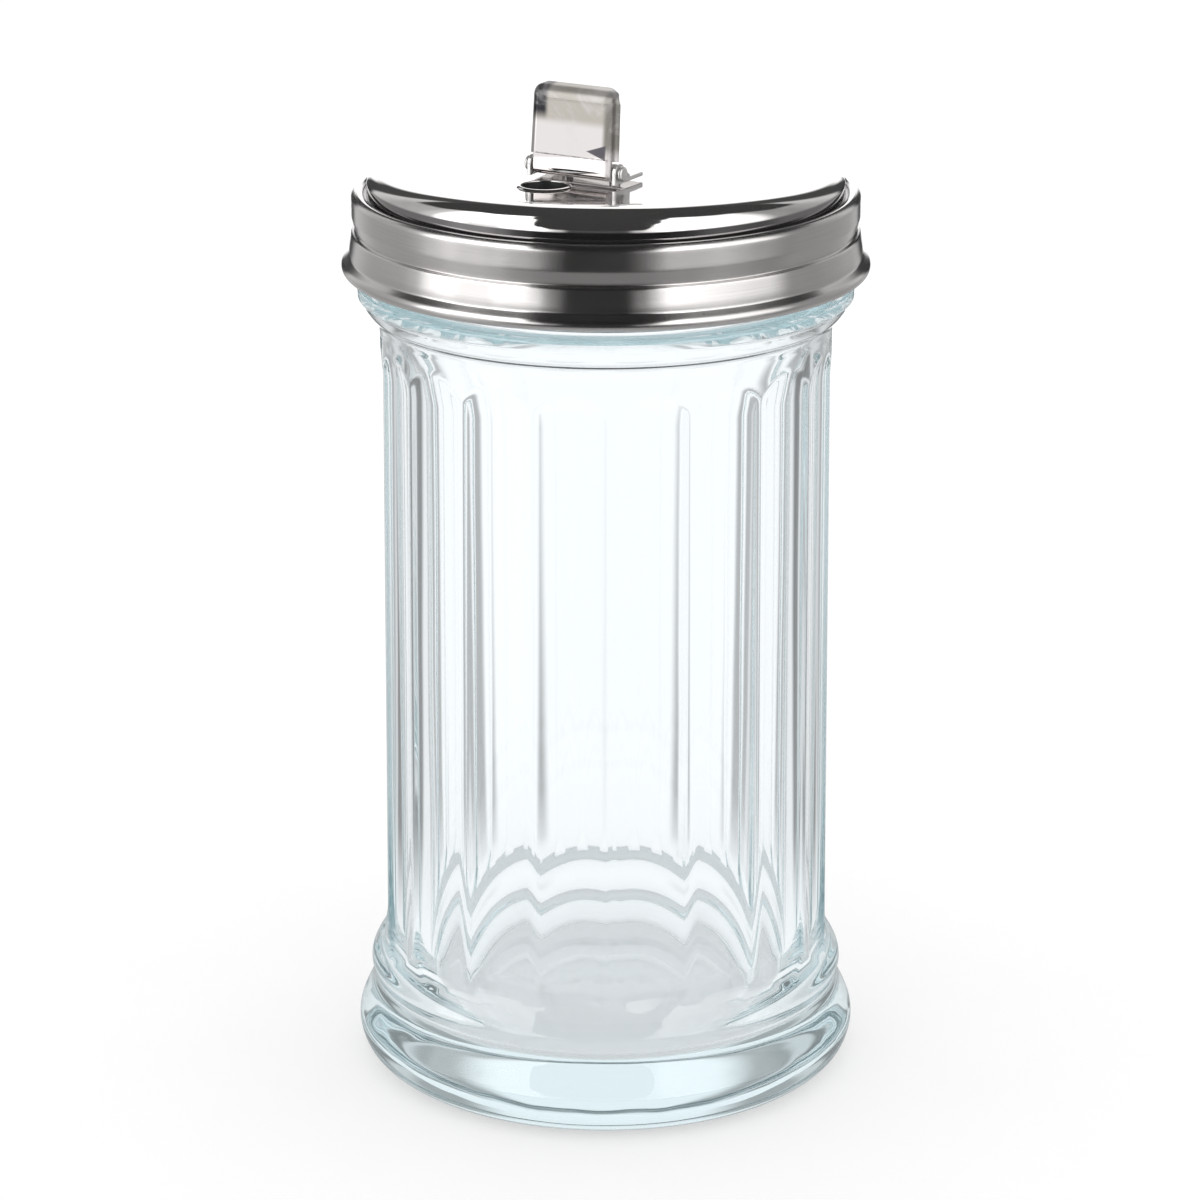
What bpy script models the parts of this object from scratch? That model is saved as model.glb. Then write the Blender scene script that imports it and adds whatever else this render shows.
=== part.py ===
"""Sugar dispenser: a fluted glass jar, a steel screw cap and a hinged pouring flap.

Metres, +Z up. The origin is the middle of the circle that the jar stands on, and -Y faces the viewer.
"""
import math

import bmesh
import bpy
from mathutils import Matrix, Vector

# Shared fits
CLEARANCE = 0.0003
OVERRUN = 0.004
EMBED = 0.0003
NUDGE = 0.00006
MERGE = 0.0000005
SMOOTH_LIMIT = math.radians(35.0)

# Jar: radii, each taken from the one next to it
BODY_TOP_RADIUS = 0.0327
BODY_TAPER = 0.00065
BODY_BOTTOM_RADIUS = BODY_TOP_RADIUS + BODY_TAPER
WAIST_FLARE = 0.00165
WAIST_RADIUS = BODY_BOTTOM_RADIUS + WAIST_FLARE
COLLAR_FLARE = 0.0003
COLLAR_RADIUS = WAIST_RADIUS + COLLAR_FLARE
BULGE_FLARE = 0.00225
BULGE_RADIUS = WAIST_RADIUS + BULGE_FLARE
CONTACT_INSET = 0.00445
CONTACT_OUTER_RADIUS = BULGE_RADIUS - CONTACT_INSET
CONTACT_WIDTH = 0.0036
CONTACT_INNER_RADIUS = CONTACT_OUTER_RADIUS - CONTACT_WIDTH
PUNT_RADIUS = 0.0112
FLUTE_DEPTH = 0.00095
WALL = 0.00235
INSIDE_RADIUS = BODY_TOP_RADIUS - FLUTE_DEPTH - WALL
NECK_WALL = 0.0039
NECK_RADIUS = INSIDE_RADIUS + NECK_WALL
SHELF_WIDTH = 0.0025
SHELF_RADIUS = NECK_RADIUS + SHELF_WIDTH
EDGE_SETBACK = 0.0019
EDGE_RADIUS = SHELF_RADIUS - EDGE_SETBACK

# Jar: heights, stacked from the base up
PUNT_HEIGHT = 0.0014
FLOOR_THICKNESS = 0.0085
BULGE_HEIGHT = 0.0052
WAIST_RISE = 0.0071
WAIST_HEIGHT = BULGE_HEIGHT + WAIST_RISE
COLLAR_RISE = 0.0020
COLLAR_HEIGHT = WAIST_HEIGHT + COLLAR_RISE
SKIRT_RISE = 0.0049
BODY_START_HEIGHT = COLLAR_HEIGHT + SKIRT_RISE
FLUTE_OVERLAP = 0.0018
FLUTE_BOTTOM = BODY_START_HEIGHT - FLUTE_OVERLAP
FLUTE_LENGTH = 0.0931
FLUTE_TOP = FLUTE_BOTTOM + FLUTE_LENGTH
EDGE_RISE = 0.0040
EDGE_HEIGHT = FLUTE_TOP + EDGE_RISE
SHELF_RISE = 0.0027
SHELF_HEIGHT = EDGE_HEIGHT + SHELF_RISE
SHELF_THICKNESS = 0.0016
SHELF_TOP = SHELF_HEIGHT + SHELF_THICKNESS
NECK_LENGTH = 0.0105
LIP_HEIGHT = SHELF_TOP + NECK_LENGTH

# Jar: flutes and roundings
FLUTE_COUNT = 18
STEPS_PER_FLUTE = 4
FLUTE_TURN = math.radians(11.7)
FLUTE_RUNOUT = 0.0050
SHELF_ROUND = 0.0006
LIP_ROUND = 0.0008
INSIDE_CORNER = 0.0050
FOOT_STEPS = 5
RUN_STEPS = 3

# Screw thread, one for the jar and one for the ring inside the cap
THREAD_PITCH = 0.0050
THREAD_RISE = 0.00075
THREAD_ROOT_WIDTH = 0.0018
THREAD_CREST_WIDTH = 0.0010
THREAD_DROP = 0.0063
JAR_THREAD_HEIGHT = LIP_HEIGHT - THREAD_DROP
JAR_THREAD_TURNS = 0.9
CAP_THREAD_TURNS = 0.8
THREAD_STEPS_PER_TURN = 36

# Threaded ring and seal inside the cap
RING_INNER_RADIUS = NECK_RADIUS + THREAD_RISE + CLEARANCE
RING_WALL = 0.00075
RING_OUTER_RADIUS = RING_INNER_RADIUS + RING_WALL
RING_TOP_GAP = 0.0004
SEAL_WIDTH = 0.0046
SEAL_THICKNESS = 0.0010
SEAL_TOP = LIP_HEIGHT + CLEARANCE + SEAL_THICKNESS

# Cap: a single pressing that fits round the ring
SHEET = 0.0005
CAP_STEPS = 48
STEP_RADIUS = RING_OUTER_RADIUS + CLEARANCE + SHEET
LOWER_BAND_PROUD = 0.00015
LOWER_BAND_RADIUS = STEP_RADIUS + LOWER_BAND_PROUD
UPPER_BAND_PROUD = 0.00056
UPPER_BAND_RADIUS = STEP_RADIUS + UPPER_BAND_PROUD
BEAD_OVERHANG = 0.00195
BEAD_RADIUS = LOWER_BAND_RADIUS + BEAD_OVERHANG
BEAD_TUBE = 0.0012
BEAD_GAP = 0.0013
BEAD_HEIGHT = SHELF_TOP + BEAD_GAP + BEAD_TUBE
BEAD_SWEEP_END = 405.0
FLARE_RISE = 0.0030
FLARE_TOP_HEIGHT = BEAD_HEIGHT + FLARE_RISE
LOWER_BAND_RISE = 0.0022
STEP_HEIGHT = FLARE_TOP_HEIGHT + LOWER_BAND_RISE
STEP_RISE = 0.0006
UPPER_BAND_HEIGHT = STEP_HEIGHT + STEP_RISE

# Cap: rim, groove and raised top, which rest over the seal
SEAL_PLAY = 0.00035
GROOVE_INSET = 0.00176
GROOVE_RADIUS = UPPER_BAND_RADIUS - GROOVE_INSET
GROOVE_HEIGHT = SEAL_TOP + SEAL_PLAY + SHEET
RIM_RISE = 0.00085
RIM_HEIGHT = GROOVE_HEIGHT + RIM_RISE
RIM_ROUND = 0.0010
RIM_SWEEP = 140.0
WALL_INSET = 0.0005
WALL_RADIUS = GROOVE_RADIUS - WALL_INSET
WALL_SHOULDER = 0.0026
VALLEY_LIFT = 0.00185
VALLEY_HEIGHT = GROOVE_HEIGHT + VALLEY_LIFT
VALLEY_RISE = 0.0034
VALLEY_TURN = math.radians(-4.0)
TOP_SHARES = (0.75, 0.5, 0.25)

# Hinge pin, ears and the flap's barrel
HINGE_X = -0.0043
HINGE_Y = -0.0015
HINGE_TURN = math.radians(-30.0)
PIN_RADIUS = 0.0005
BARREL_WALL = 0.0005
BARREL_RADIUS = PIN_RADIUS + CLEARANCE + BARREL_WALL
BARREL_GAP = 0.0007
HINGE_RISE = BARREL_RADIUS + BARREL_GAP
EAR_WALL = 0.0006
EAR_RADIUS = PIN_RADIUS + CLEARANCE + EAR_WALL
EAR_THICKNESS = 0.0006
PIN_HEAD_LAP = 0.0003
PIN_HEAD_RADIUS = PIN_RADIUS + CLEARANCE + PIN_HEAD_LAP
PIN_HEAD_THICKNESS = 0.0004

# Flap
FLAP_LEAN = math.radians(5.0)
FLAP_WIDTH = 0.0146
FLAP_HEIGHT = 0.0118
FLAP_CURL = 0.0020
FLAP_CURL_ANGLE = math.radians(75.0)
FLAP_SHEET = 0.0005
FLANGE_ROUND = 0.0013
FLANGE_ANGLE = math.radians(70.0)

# Bracket and its rivets
BRACKET_THICKNESS = 0.0006
BRACKET_GAP = 0.0005
BRACKET_FRONT = BARREL_RADIUS + BRACKET_GAP
BRACKET_DEPTH = 0.0048
BRACKET_BACK = BRACKET_FRONT + BRACKET_DEPTH
EAR_FOOT = 0.0012
EAR_BACK = BRACKET_FRONT + EAR_FOOT
RIVET_RADIUS = 0.0008
RIVET_HEAD_LAP = 0.0004
RIVET_HEAD_RADIUS = RIVET_RADIUS + CLEARANCE + RIVET_HEAD_LAP
RIVET_HEAD_THICKNESS = 0.0006
HEAD_SIDE_SHARE = 0.3
HEAD_SHOULDER_SHARE = 0.8
HEAD_CROWN_SHARE = 0.7
RIVET_SIDE_INSET = 0.0034
RIVET_SPACING = FLAP_WIDTH - 2 * RIVET_SIDE_INSET
RIVET_INSET = 0.0026
RIVET_BACK = BRACKET_FRONT + RIVET_INSET

# Pour hole in the cap, in front of the barrel
HOLE_RADIUS = 0.0034
HOLE_LIP_WIDTH = 0.0004
HOLE_LIP_RISE = 0.00035
HOLE_GAP = 0.0007
HOLE_FRONT = BARREL_RADIUS + HOLE_GAP + HOLE_RADIUS
HOLE_SIDE = -0.0020

ROUND_STEPS = 24
FULL_TURN = 2 * math.pi


def clear_scene():
    """Take away whatever the file holds."""
    for thing in list(bpy.data.objects):
        bpy.data.objects.remove(thing, do_unlink=True)


def make_material(name, colour, roughness, metallic, transmission=0.0):
    """One plain finish, shared by the pieces made of it."""
    material = bpy.data.materials.new(name)
    material.use_nodes = True
    shader = material.node_tree.nodes["Principled BSDF"]
    shader.inputs["Base Color"].default_value = (*colour, 1.0)
    shader.inputs["Roughness"].default_value = roughness
    shader.inputs["Metallic"].default_value = metallic
    shader.inputs["Transmission Weight"].default_value = transmission
    return material


def add_object(name, mesh, material=None):
    """Put a mesh into the scene under its own name."""
    thing = bpy.data.objects.new(name, mesh)
    bpy.context.collection.objects.link(thing)
    if material is not None:
        mesh.materials.append(material)
        mesh.shade_smooth()
        mesh.set_sharp_from_angle(angle=SMOOTH_LIMIT)
    return thing


def mesh_from(bm, name):
    """Close a bmesh with its faces out and hand over the mesh."""
    bmesh.ops.recalc_face_normals(bm, faces=bm.faces[:])
    if bm.calc_volume(signed=True) < 0:
        bmesh.ops.reverse_faces(bm, faces=bm.faces[:])
    mesh = bpy.data.meshes.new(name)
    bm.to_mesh(mesh)
    bm.free()
    return mesh


def loft_around(name, section_at, steps, closed, start=0.0):
    """Turn a section that may change with its angle all the way round the Z axis.

    A closed section makes a ring. An open one starts and ends on the axis.
    """
    bm = bmesh.new()
    rows = []
    for step in range(steps):
        angle = start + FULL_TURN * step / steps
        turn = Matrix.Rotation(angle, 4, "Z")
        rows.append([bm.verts.new(turn @ Vector((radius, 0, height))) for radius, height in section_at(angle)])
    for step, row in enumerate(rows):
        after = rows[(step + 1) % steps]
        count = len(row)
        for i in range(count if closed else count - 1):
            j = (i + 1) % count
            bm.faces.new((row[i], after[i], after[j], row[j]))
    bmesh.ops.remove_doubles(bm, verts=bm.verts[:], dist=MERGE)
    return mesh_from(bm, name)


def cylinder_mesh(name, radius, bottom, top, steps=ROUND_STEPS):
    """A plain upright cylinder between two heights."""
    bm = bmesh.new()
    middle = Matrix.Translation((0, 0, (bottom + top) / 2))
    bmesh.ops.create_cone(bm, cap_ends=True, segments=steps, radius1=radius, radius2=radius,
                          depth=top - bottom, matrix=middle)
    return mesh_from(bm, name)


def box_mesh(name, low, high):
    """A plain box between two corners."""
    bm = bmesh.new()
    size = [b - a for a, b in zip(low, high)]
    middle = Matrix.Translation([(a + b) / 2 for a, b in zip(low, high)])
    bmesh.ops.create_cube(bm, size=1.0, matrix=middle @ Matrix.Diagonal((*size, 1.0)))
    return mesh_from(bm, name)


def make_helper(name, mesh, place):
    """A guide solid that only takes part in a Boolean."""
    helper = add_object(name, mesh)
    helper.matrix_world = place
    helper.hide_render = True
    helper.display_type = "WIRE"
    return helper


def combine(thing, helper, operation):
    """Join a helper to a piece, or cut it away."""
    modifier = thing.modifiers.new(helper.name, "BOOLEAN")
    modifier.operation = operation
    modifier.solver = "EXACT"
    modifier.object = helper


def arc(middle_radius, middle_height, size, start, end, count):
    """Points on an arc in a section, from one angle in degrees to another."""
    angles = [math.radians(start + (end - start) * i / (count - 1)) for i in range(count)]
    return [(middle_radius + size * math.cos(a), middle_height + size * math.sin(a)) for a in angles]


def eased(start, end, share):
    """A value on a smooth S-shaped run between two others."""
    return start + (end - start) * (1 - math.cos(math.pi * share)) / 2


def fade(distance):
    """How far a flute has reached its depth, at a distance from its end."""
    share = min(max(distance / FLUTE_RUNOUT, 0.0), 1.0)
    return math.sin(share * math.pi / 2)


def flute_cut(angle, height):
    """How deep a flute is cut at an angle and a height."""
    place = ((angle - FLUTE_TURN) * FLUTE_COUNT / FULL_TURN) % 1.0
    scoop = 4 * place * (1 - place)
    depth = fade(height - FLUTE_BOTTOM) * fade(FLUTE_TOP - height)
    return FLUTE_DEPTH * max(scoop - (1 - depth), 0.0)


def run_between(start, end):
    """Points on an S-shaped run of the outline from one place up to another."""
    shares = [i / RUN_STEPS for i in range(1, RUN_STEPS + 1)]
    return [(eased(start[0], end[0], share), start[1] + (end[1] - start[1]) * share) for share in shares]


def foot_points():
    """The outside of the foot, from the axis out and up to the body."""
    points = [(0.0, PUNT_HEIGHT), (PUNT_RADIUS, PUNT_HEIGHT)]
    points += [(CONTACT_INNER_RADIUS, 0.0), (CONTACT_OUTER_RADIUS, 0.0)]
    for i in range(1, FOOT_STEPS + 1):
        turn = math.pi / 2 * i / FOOT_STEPS
        radius = CONTACT_OUTER_RADIUS + (BULGE_RADIUS - CONTACT_OUTER_RADIUS) * math.sin(turn)
        points.append((radius, BULGE_HEIGHT * (1 - math.cos(turn))))
    points += run_between((BULGE_RADIUS, BULGE_HEIGHT), (WAIST_RADIUS, WAIST_HEIGHT))
    points.append((COLLAR_RADIUS, COLLAR_HEIGHT))
    points += run_between((COLLAR_RADIUS, COLLAR_HEIGHT), (BODY_BOTTOM_RADIUS, BODY_START_HEIGHT))
    return points


def body_points():
    """The ridges of the fluted body, with rings close together where the flutes run out."""
    low = [BODY_START_HEIGHT + FLUTE_RUNOUT * i / RUN_STEPS for i in range(1, RUN_STEPS)]
    high = [FLUTE_TOP - FLUTE_RUNOUT * i / RUN_STEPS for i in range(RUN_STEPS, -1, -1)]
    heights = low + [(low[-1] + high[0]) / 2] + high
    slope = (BODY_TOP_RADIUS - BODY_BOTTOM_RADIUS) / (FLUTE_TOP - BODY_START_HEIGHT)
    return [(BODY_BOTTOM_RADIUS + slope * (height - BODY_START_HEIGHT), height) for height in heights]


def neck_points():
    """The shoulder, the shelf under the cap, the neck and its lip."""
    points = [(EDGE_RADIUS, EDGE_HEIGHT), (SHELF_RADIUS, SHELF_HEIGHT)]
    points += arc(SHELF_RADIUS - SHELF_ROUND, SHELF_TOP - SHELF_ROUND, SHELF_ROUND, 0, 90, 3)
    points.append((NECK_RADIUS, SHELF_TOP + SHELF_ROUND))
    points += arc(NECK_RADIUS - LIP_ROUND, LIP_HEIGHT - LIP_ROUND, LIP_ROUND, 0, 90, 4)
    points += arc(INSIDE_RADIUS + LIP_ROUND, LIP_HEIGHT - LIP_ROUND, LIP_ROUND, 90, 180, 4)
    return points


def inside_points():
    """The inside of the jar, from below the lip down to the middle of the floor."""
    corner = arc(INSIDE_RADIUS - INSIDE_CORNER, FLOOR_THICKNESS + INSIDE_CORNER, INSIDE_CORNER, 0, -90, 4)
    return corner + [(0.0, FLOOR_THICKNESS)]


def jar_section(angle):
    """The jar's section at an angle, with the flutes pressed into the body."""
    outside = foot_points() + body_points()
    cut = [(radius - flute_cut(angle, height), height) for radius, height in outside]
    return cut + neck_points() + inside_points()


def thread_mesh(name, root_radius, crest_radius, middle_height, start_turn, turns):
    """A helical rib whose root is sunk into the wall that carries it."""
    bm = bmesh.new()
    sink = math.copysign(EMBED, root_radius - crest_radius)
    steps = round(THREAD_STEPS_PER_TURN * turns)
    half_root = THREAD_ROOT_WIDTH / 2
    half_crest = THREAD_CREST_WIDTH / 2
    section = [(root_radius + sink, -half_root), (root_radius + sink, half_root),
               (crest_radius, half_crest), (crest_radius, -half_crest)]
    rows = []
    for step in range(steps + 1):
        turn = start_turn + turns * step / steps
        spin = Matrix.Rotation(FULL_TURN * turn, 4, "Z")
        climb = middle_height + THREAD_PITCH * turn
        rows.append([bm.verts.new(spin @ Vector((radius, 0, climb + height))) for radius, height in section])
    for row, after in zip(rows, rows[1:]):
        for i in range(4):
            j = (i + 1) % 4
            bm.faces.new((row[i], after[i], after[j], row[j]))
    bm.faces.new(rows[0])
    bm.faces.new(rows[-1])
    return mesh_from(bm, name)


def build_jar(glass):
    """The jar with its thread."""
    steps = FLUTE_COUNT * STEPS_PER_FLUTE
    mesh = loft_around("glass_jar", jar_section, steps, closed=False, start=FLUTE_TURN)
    jar = add_object("glass_jar", mesh, glass)
    rib = thread_mesh("jar_thread", NECK_RADIUS, NECK_RADIUS + THREAD_RISE, JAR_THREAD_HEIGHT, 0.0,
                      JAR_THREAD_TURNS)
    combine(jar, make_helper("jar_thread_helper", rib, Matrix.Identity(4)), "UNION")


def valley_at(x, y):
    """The height of the cap's top face, a shallow valley that runs from left to right."""
    across = y * math.cos(VALLEY_TURN) - x * math.sin(VALLEY_TURN)
    return VALLEY_HEIGHT + VALLEY_RISE * (across / WALL_RADIUS) ** 2


def valley_from_axis(angle, radius):
    """The height of the top face at a distance from the axis."""
    return valley_at(radius * math.cos(angle), radius * math.sin(angle))


def rim_points():
    """The cap's outside from its lower band up over the rim and into the groove."""
    crown_radius = UPPER_BAND_RADIUS - RIM_ROUND
    crown_height = RIM_HEIGHT - RIM_ROUND
    band_foot = (UPPER_BAND_HEIGHT - STEP_HEIGHT) / 2
    points = [(LOWER_BAND_RADIUS, FLARE_TOP_HEIGHT), (LOWER_BAND_RADIUS, STEP_HEIGHT - band_foot)]
    points += [(STEP_RADIUS, STEP_HEIGHT), (UPPER_BAND_RADIUS - band_foot, STEP_HEIGHT + band_foot / 2)]
    points.append((UPPER_BAND_RADIUS, UPPER_BAND_HEIGHT))
    points += arc(crown_radius, crown_height, RIM_ROUND, 0, RIM_SWEEP, 6)
    points.append((GROOVE_RADIUS, GROOVE_HEIGHT))
    return points


def top_points(angle):
    """The raised top at an angle, from the foot of its wall in to the axis."""
    height = valley_from_axis(angle, WALL_RADIUS) - GROOVE_HEIGHT
    rounding = min(WALL_SHOULDER, height - SHEET)
    inner = WALL_RADIUS - rounding
    crest = valley_from_axis(angle, inner)
    points = [(WALL_RADIUS, GROOVE_HEIGHT + SHEET)]
    points += arc(inner, crest - rounding, rounding, 0, 90, 6)
    for share in TOP_SHARES:
        points.append((inner * share, valley_from_axis(angle, inner * share)))
    points.append((0.0, VALLEY_HEIGHT))
    return points


def sunk(points, depth):
    """The same line of points, moved to its right hand side by a sheet's thickness."""
    moved = []
    for i, (radius, height) in enumerate(points):
        before = Vector(points[max(i - 1, 0)])
        after = Vector(points[min(i + 1, len(points) - 1)])
        along = (after - before).normalized()
        if radius == 0.0:
            along = Vector((-1.0, 0.0))
        moved.append((radius - depth * along.y, height + depth * along.x))
    return moved


def bead_points():
    """The rolled bead at the cap's lower edge, from its inside round to the flare."""
    middle = BEAD_RADIUS - BEAD_TUBE
    flare = ((LOWER_BAND_RADIUS + middle) / 2, (BEAD_HEIGHT + BEAD_TUBE + FLARE_TOP_HEIGHT) / 2)
    return arc(middle, BEAD_HEIGHT, BEAD_TUBE, 180, BEAD_SWEEP_END, 8) + [flare]


def cap_section(angle):
    """The cap's section at an angle: from the axis down the outside and back up the inside."""
    face = rim_points() + top_points(angle)
    outside = bead_points() + face
    return outside[::-1] + sunk(face, SHEET)


def build_cap(steel):
    """The cap with its pour hole, the hole's raised lip and the holes for the rivets."""
    cap = add_object("cap_shell", loft_around("cap_shell", cap_section, CAP_STEPS, closed=False), steel)
    place = hole_place()
    level = place.translation.z
    lip = cylinder_mesh("hole_lip", HOLE_RADIUS + HOLE_LIP_WIDTH, -SHEET / 2, HOLE_LIP_RISE)
    combine(cap, make_helper("hole_lip_helper", lip, place), "UNION")
    cut = cylinder_mesh("hole_cut", HOLE_RADIUS, -OVERRUN, OVERRUN)
    combine(cap, make_helper("hole_cut_helper", cut, place), "DIFFERENCE")
    for side in (-1, 1):
        cut = cylinder_mesh("rivet_hole_cut", RIVET_RADIUS + CLEARANCE, level - OVERRUN, level + OVERRUN)
        spot = rivet_spot(side)
        combine(cap, make_helper("rivet_hole_helper", cut, Matrix.Translation((spot.x, spot.y, 0))), "DIFFERENCE")


def hinge_frame():
    """Where the flap's axis lies: its X runs along the pin and its Y points away from the viewer."""
    height = valley_at(HINGE_X, HINGE_Y) + HINGE_RISE
    return Matrix.Translation((HINGE_X, HINGE_Y, height)) @ Matrix.Rotation(HINGE_TURN, 4, "Z")


def on_valley(side, back):
    """A point of the cap's top face, given along the pin and behind it."""
    spot = hinge_frame() @ Vector((side, back, 0))
    return Vector((spot.x, spot.y, valley_at(spot.x, spot.y)))


def hole_place():
    """The middle of the pour hole, on the top face."""
    return Matrix.Translation(on_valley(HOLE_SIDE, -HOLE_FRONT))


def rivet_spot(side):
    """The middle of one rivet, on the top face."""
    return on_valley(side * RIVET_SPACING / 2, RIVET_BACK)


def build_thread_ring(plastic):
    """The threaded ring that is pressed into the cap."""
    outer = RING_OUTER_RADIUS
    inner = RING_INNER_RADIUS
    top = LIP_HEIGHT - RING_TOP_GAP
    section = [(outer, BEAD_HEIGHT), (outer, top), (inner, top), (inner, BEAD_HEIGHT)]
    mesh = loft_around("thread_ring", lambda angle: section, CAP_STEPS, closed=True)
    ring = add_object("thread_ring", mesh, plastic)
    start = 1 - CAP_THREAD_TURNS / 2
    rib = thread_mesh("cap_thread", inner, inner - THREAD_RISE, JAR_THREAD_HEIGHT - THREAD_PITCH / 2,
                      start, CAP_THREAD_TURNS)
    combine(ring, make_helper("cap_thread_helper", rib, Matrix.Identity(4)), "UNION")


def build_seal(rubber):
    """The flat seal between the jar's lip and the cap's groove."""
    bottom = SEAL_TOP - SEAL_THICKNESS
    outer = RING_OUTER_RADIUS
    inner = outer - SEAL_WIDTH
    section = [(outer, bottom), (outer, SEAL_TOP), (inner, SEAL_TOP), (inner, bottom)]
    add_object("seal_ring", loft_around("seal_ring", lambda angle: section, CAP_STEPS, closed=True), rubber)


def lying(radius, half_length):
    """A cylinder along the pin."""
    return cylinder_mesh("lying", radius, -half_length, half_length)


def along_pin(offset=0.0):
    """Turns an upright shape to lie along the pin, moved along it."""
    return hinge_frame() @ Matrix.Translation((offset, 0, 0)) @ Matrix.Rotation(math.pi / 2, 4, "Y")


def edge_points():
    """Across the flap: flat in the middle, with both edges rolled back. Each is (side, back)."""
    flat = FLAP_WIDTH / 2 - FLANGE_ROUND
    roll = [FLANGE_ANGLE * i / 3 for i in range(4)]
    right = [(flat + FLANGE_ROUND * math.sin(a), FLANGE_ROUND * (1 - math.cos(a))) for a in roll]
    left = [(-side, back) for side, back in reversed(right)]
    return left + right


def rise_points():
    """Up the flap: straight, then curled back at the top. Each is (back, height, tilt)."""
    foot = EAR_RADIUS + CLEARANCE
    straight = FLAP_HEIGHT - FLAP_CURL
    points = [(-BARREL_RADIUS, foot, 0.0), (-BARREL_RADIUS, (foot + straight) / 2, 0.0)]
    for i in range(5):
        tilt = FLAP_CURL_ANGLE * i / 4
        back = FLAP_CURL * (1 - math.cos(tilt)) - BARREL_RADIUS
        points.append((back, straight + FLAP_CURL * math.sin(tilt), tilt))
    return points


def plate_point(side, roll, rise, depth):
    """A point of the flap's plate, at a depth behind its front face."""
    back, height, tilt = rise
    share = (abs(side) - FLAP_WIDTH / 2 + FLANGE_ROUND) / FLANGE_ROUND
    slope = math.asin(min(max(share, 0.0), 1.0))
    inward = -math.copysign(depth * math.sin(slope), side)
    behind = roll + depth * math.cos(slope)
    return side + inward, back + behind * math.cos(tilt), height - behind * math.sin(tilt)


def bridge(bm, near, far):
    """Faces between two rows of vertices."""
    for i in range(len(near) - 1):
        bm.faces.new((near[i], near[i + 1], far[i + 1], far[i]))


def plate_mesh():
    """The flap's visible plate as one closed sheet with rolled edges and a curled top."""
    bm = bmesh.new()
    front, rear = [[[bm.verts.new(plate_point(side, roll, rise, depth)) for side, roll in edge_points()]
                    for rise in rise_points()] for depth in (0.0, FLAP_SHEET)]
    for rows in (front, rear):
        for row, after in zip(rows, rows[1:]):
            bridge(bm, row, after)
    for end in (0, -1):
        bridge(bm, front[end], rear[end])
        bridge(bm, [row[end] for row in front], [row[end] for row in rear])
    return mesh_from(bm, "flap")


def build_flap(steel):
    """The flap, with its origin on the pin's axis. It leans back a little where it stands open."""
    mesh = plate_mesh()
    lean = Matrix.Rotation(-FLAP_LEAN, 4, "X")
    mesh.transform(lean)
    flap = add_object("flap", mesh, steel)
    flap.matrix_world = hinge_frame()
    half = FLAP_WIDTH / 2 - EAR_THICKNESS - CLEARANCE
    foot = EAR_RADIUS + CLEARANCE
    tongue = box_mesh("tongue", (NUDGE - half, NUDGE - BARREL_RADIUS, -NUDGE),
                      (half - NUDGE, FLAP_SHEET - NUDGE - BARREL_RADIUS, foot + EMBED))
    combine(flap, make_helper("tongue_helper", tongue, hinge_frame() @ lean), "UNION")
    combine(flap, make_helper("barrel_helper", lying(BARREL_RADIUS, half), along_pin()), "UNION")
    bore = lying(PIN_RADIUS + CLEARANCE, half + OVERRUN)
    combine(flap, make_helper("bore_helper", bore, along_pin()), "DIFFERENCE")


def build_pin(steel):
    """The hinge pin with a head at each end."""
    reach = FLAP_WIDTH / 2 + CLEARANCE
    end = reach + PIN_HEAD_THICKNESS
    pin = add_object("hinge_pin", lying(PIN_RADIUS, end - PIN_HEAD_THICKNESS / 2), steel)
    pin.matrix_world = along_pin()
    for side in (-1, 1):
        head = lying(PIN_HEAD_RADIUS, PIN_HEAD_THICKNESS / 2)
        place = along_pin(side * (reach + PIN_HEAD_THICKNESS / 2))
        combine(pin, make_helper("pin_head_helper", head, place), "UNION")


def bracket_bottom():
    """The bracket's underside, just clear of the cap, measured from the pin's axis."""
    corners = [on_valley(side * FLAP_WIDTH / 2, back) for side in (-1, 1) for back in (BRACKET_FRONT, BRACKET_BACK)]
    return max(corner.z for corner in corners) + CLEARANCE - hinge_frame().translation.z


def build_bracket(steel):
    """The hinge bracket: a base plate behind the flap and an ear at each end of the pin."""
    half = FLAP_WIDTH / 2
    bottom = bracket_bottom()
    base = box_mesh("hinge_bracket", (-half, BRACKET_FRONT, bottom), (half, BRACKET_BACK, bottom + BRACKET_THICKNESS))
    bracket = add_object("hinge_bracket", base, steel)
    bracket.matrix_world = hinge_frame()
    for side in (-1, 1):
        ends = sorted((side * (half - NUDGE), side * (half - EAR_THICKNESS)))
        foot = box_mesh("ear_foot", (ends[0], -EAR_RADIUS, bottom + NUDGE), (ends[1], EAR_BACK, 0.0))
        combine(bracket, make_helper("ear_foot_helper", foot, hinge_frame()), "UNION")
        middle = (ends[0] + ends[1]) / 2
        knuckle = lying(EAR_RADIUS, EAR_THICKNESS / 2 - NUDGE)
        combine(bracket, make_helper("ear_round_helper", knuckle, along_pin(middle)), "UNION")
    bore = lying(PIN_RADIUS + CLEARANCE, half + OVERRUN)
    combine(bracket, make_helper("ear_bore_helper", bore, along_pin()), "DIFFERENCE")
    for side in (-1, 1):
        cut = cylinder_mesh("rivet_cut", RIVET_RADIUS + CLEARANCE, -OVERRUN, OVERRUN)
        place = Matrix.Translation(rivet_spot(side))
        combine(bracket, make_helper("bracket_hole_helper", cut, place), "DIFFERENCE")


def head_points(seat, rise):
    """A rivet's head from its edge in to its middle. A negative rise makes it point down."""
    return [(RIVET_HEAD_RADIUS, seat), (RIVET_HEAD_RADIUS, seat + rise * HEAD_SIDE_SHARE),
            (RIVET_HEAD_RADIUS * HEAD_CROWN_SHARE, seat + rise * HEAD_SHOULDER_SHARE), (0.0, seat + rise)]


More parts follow.
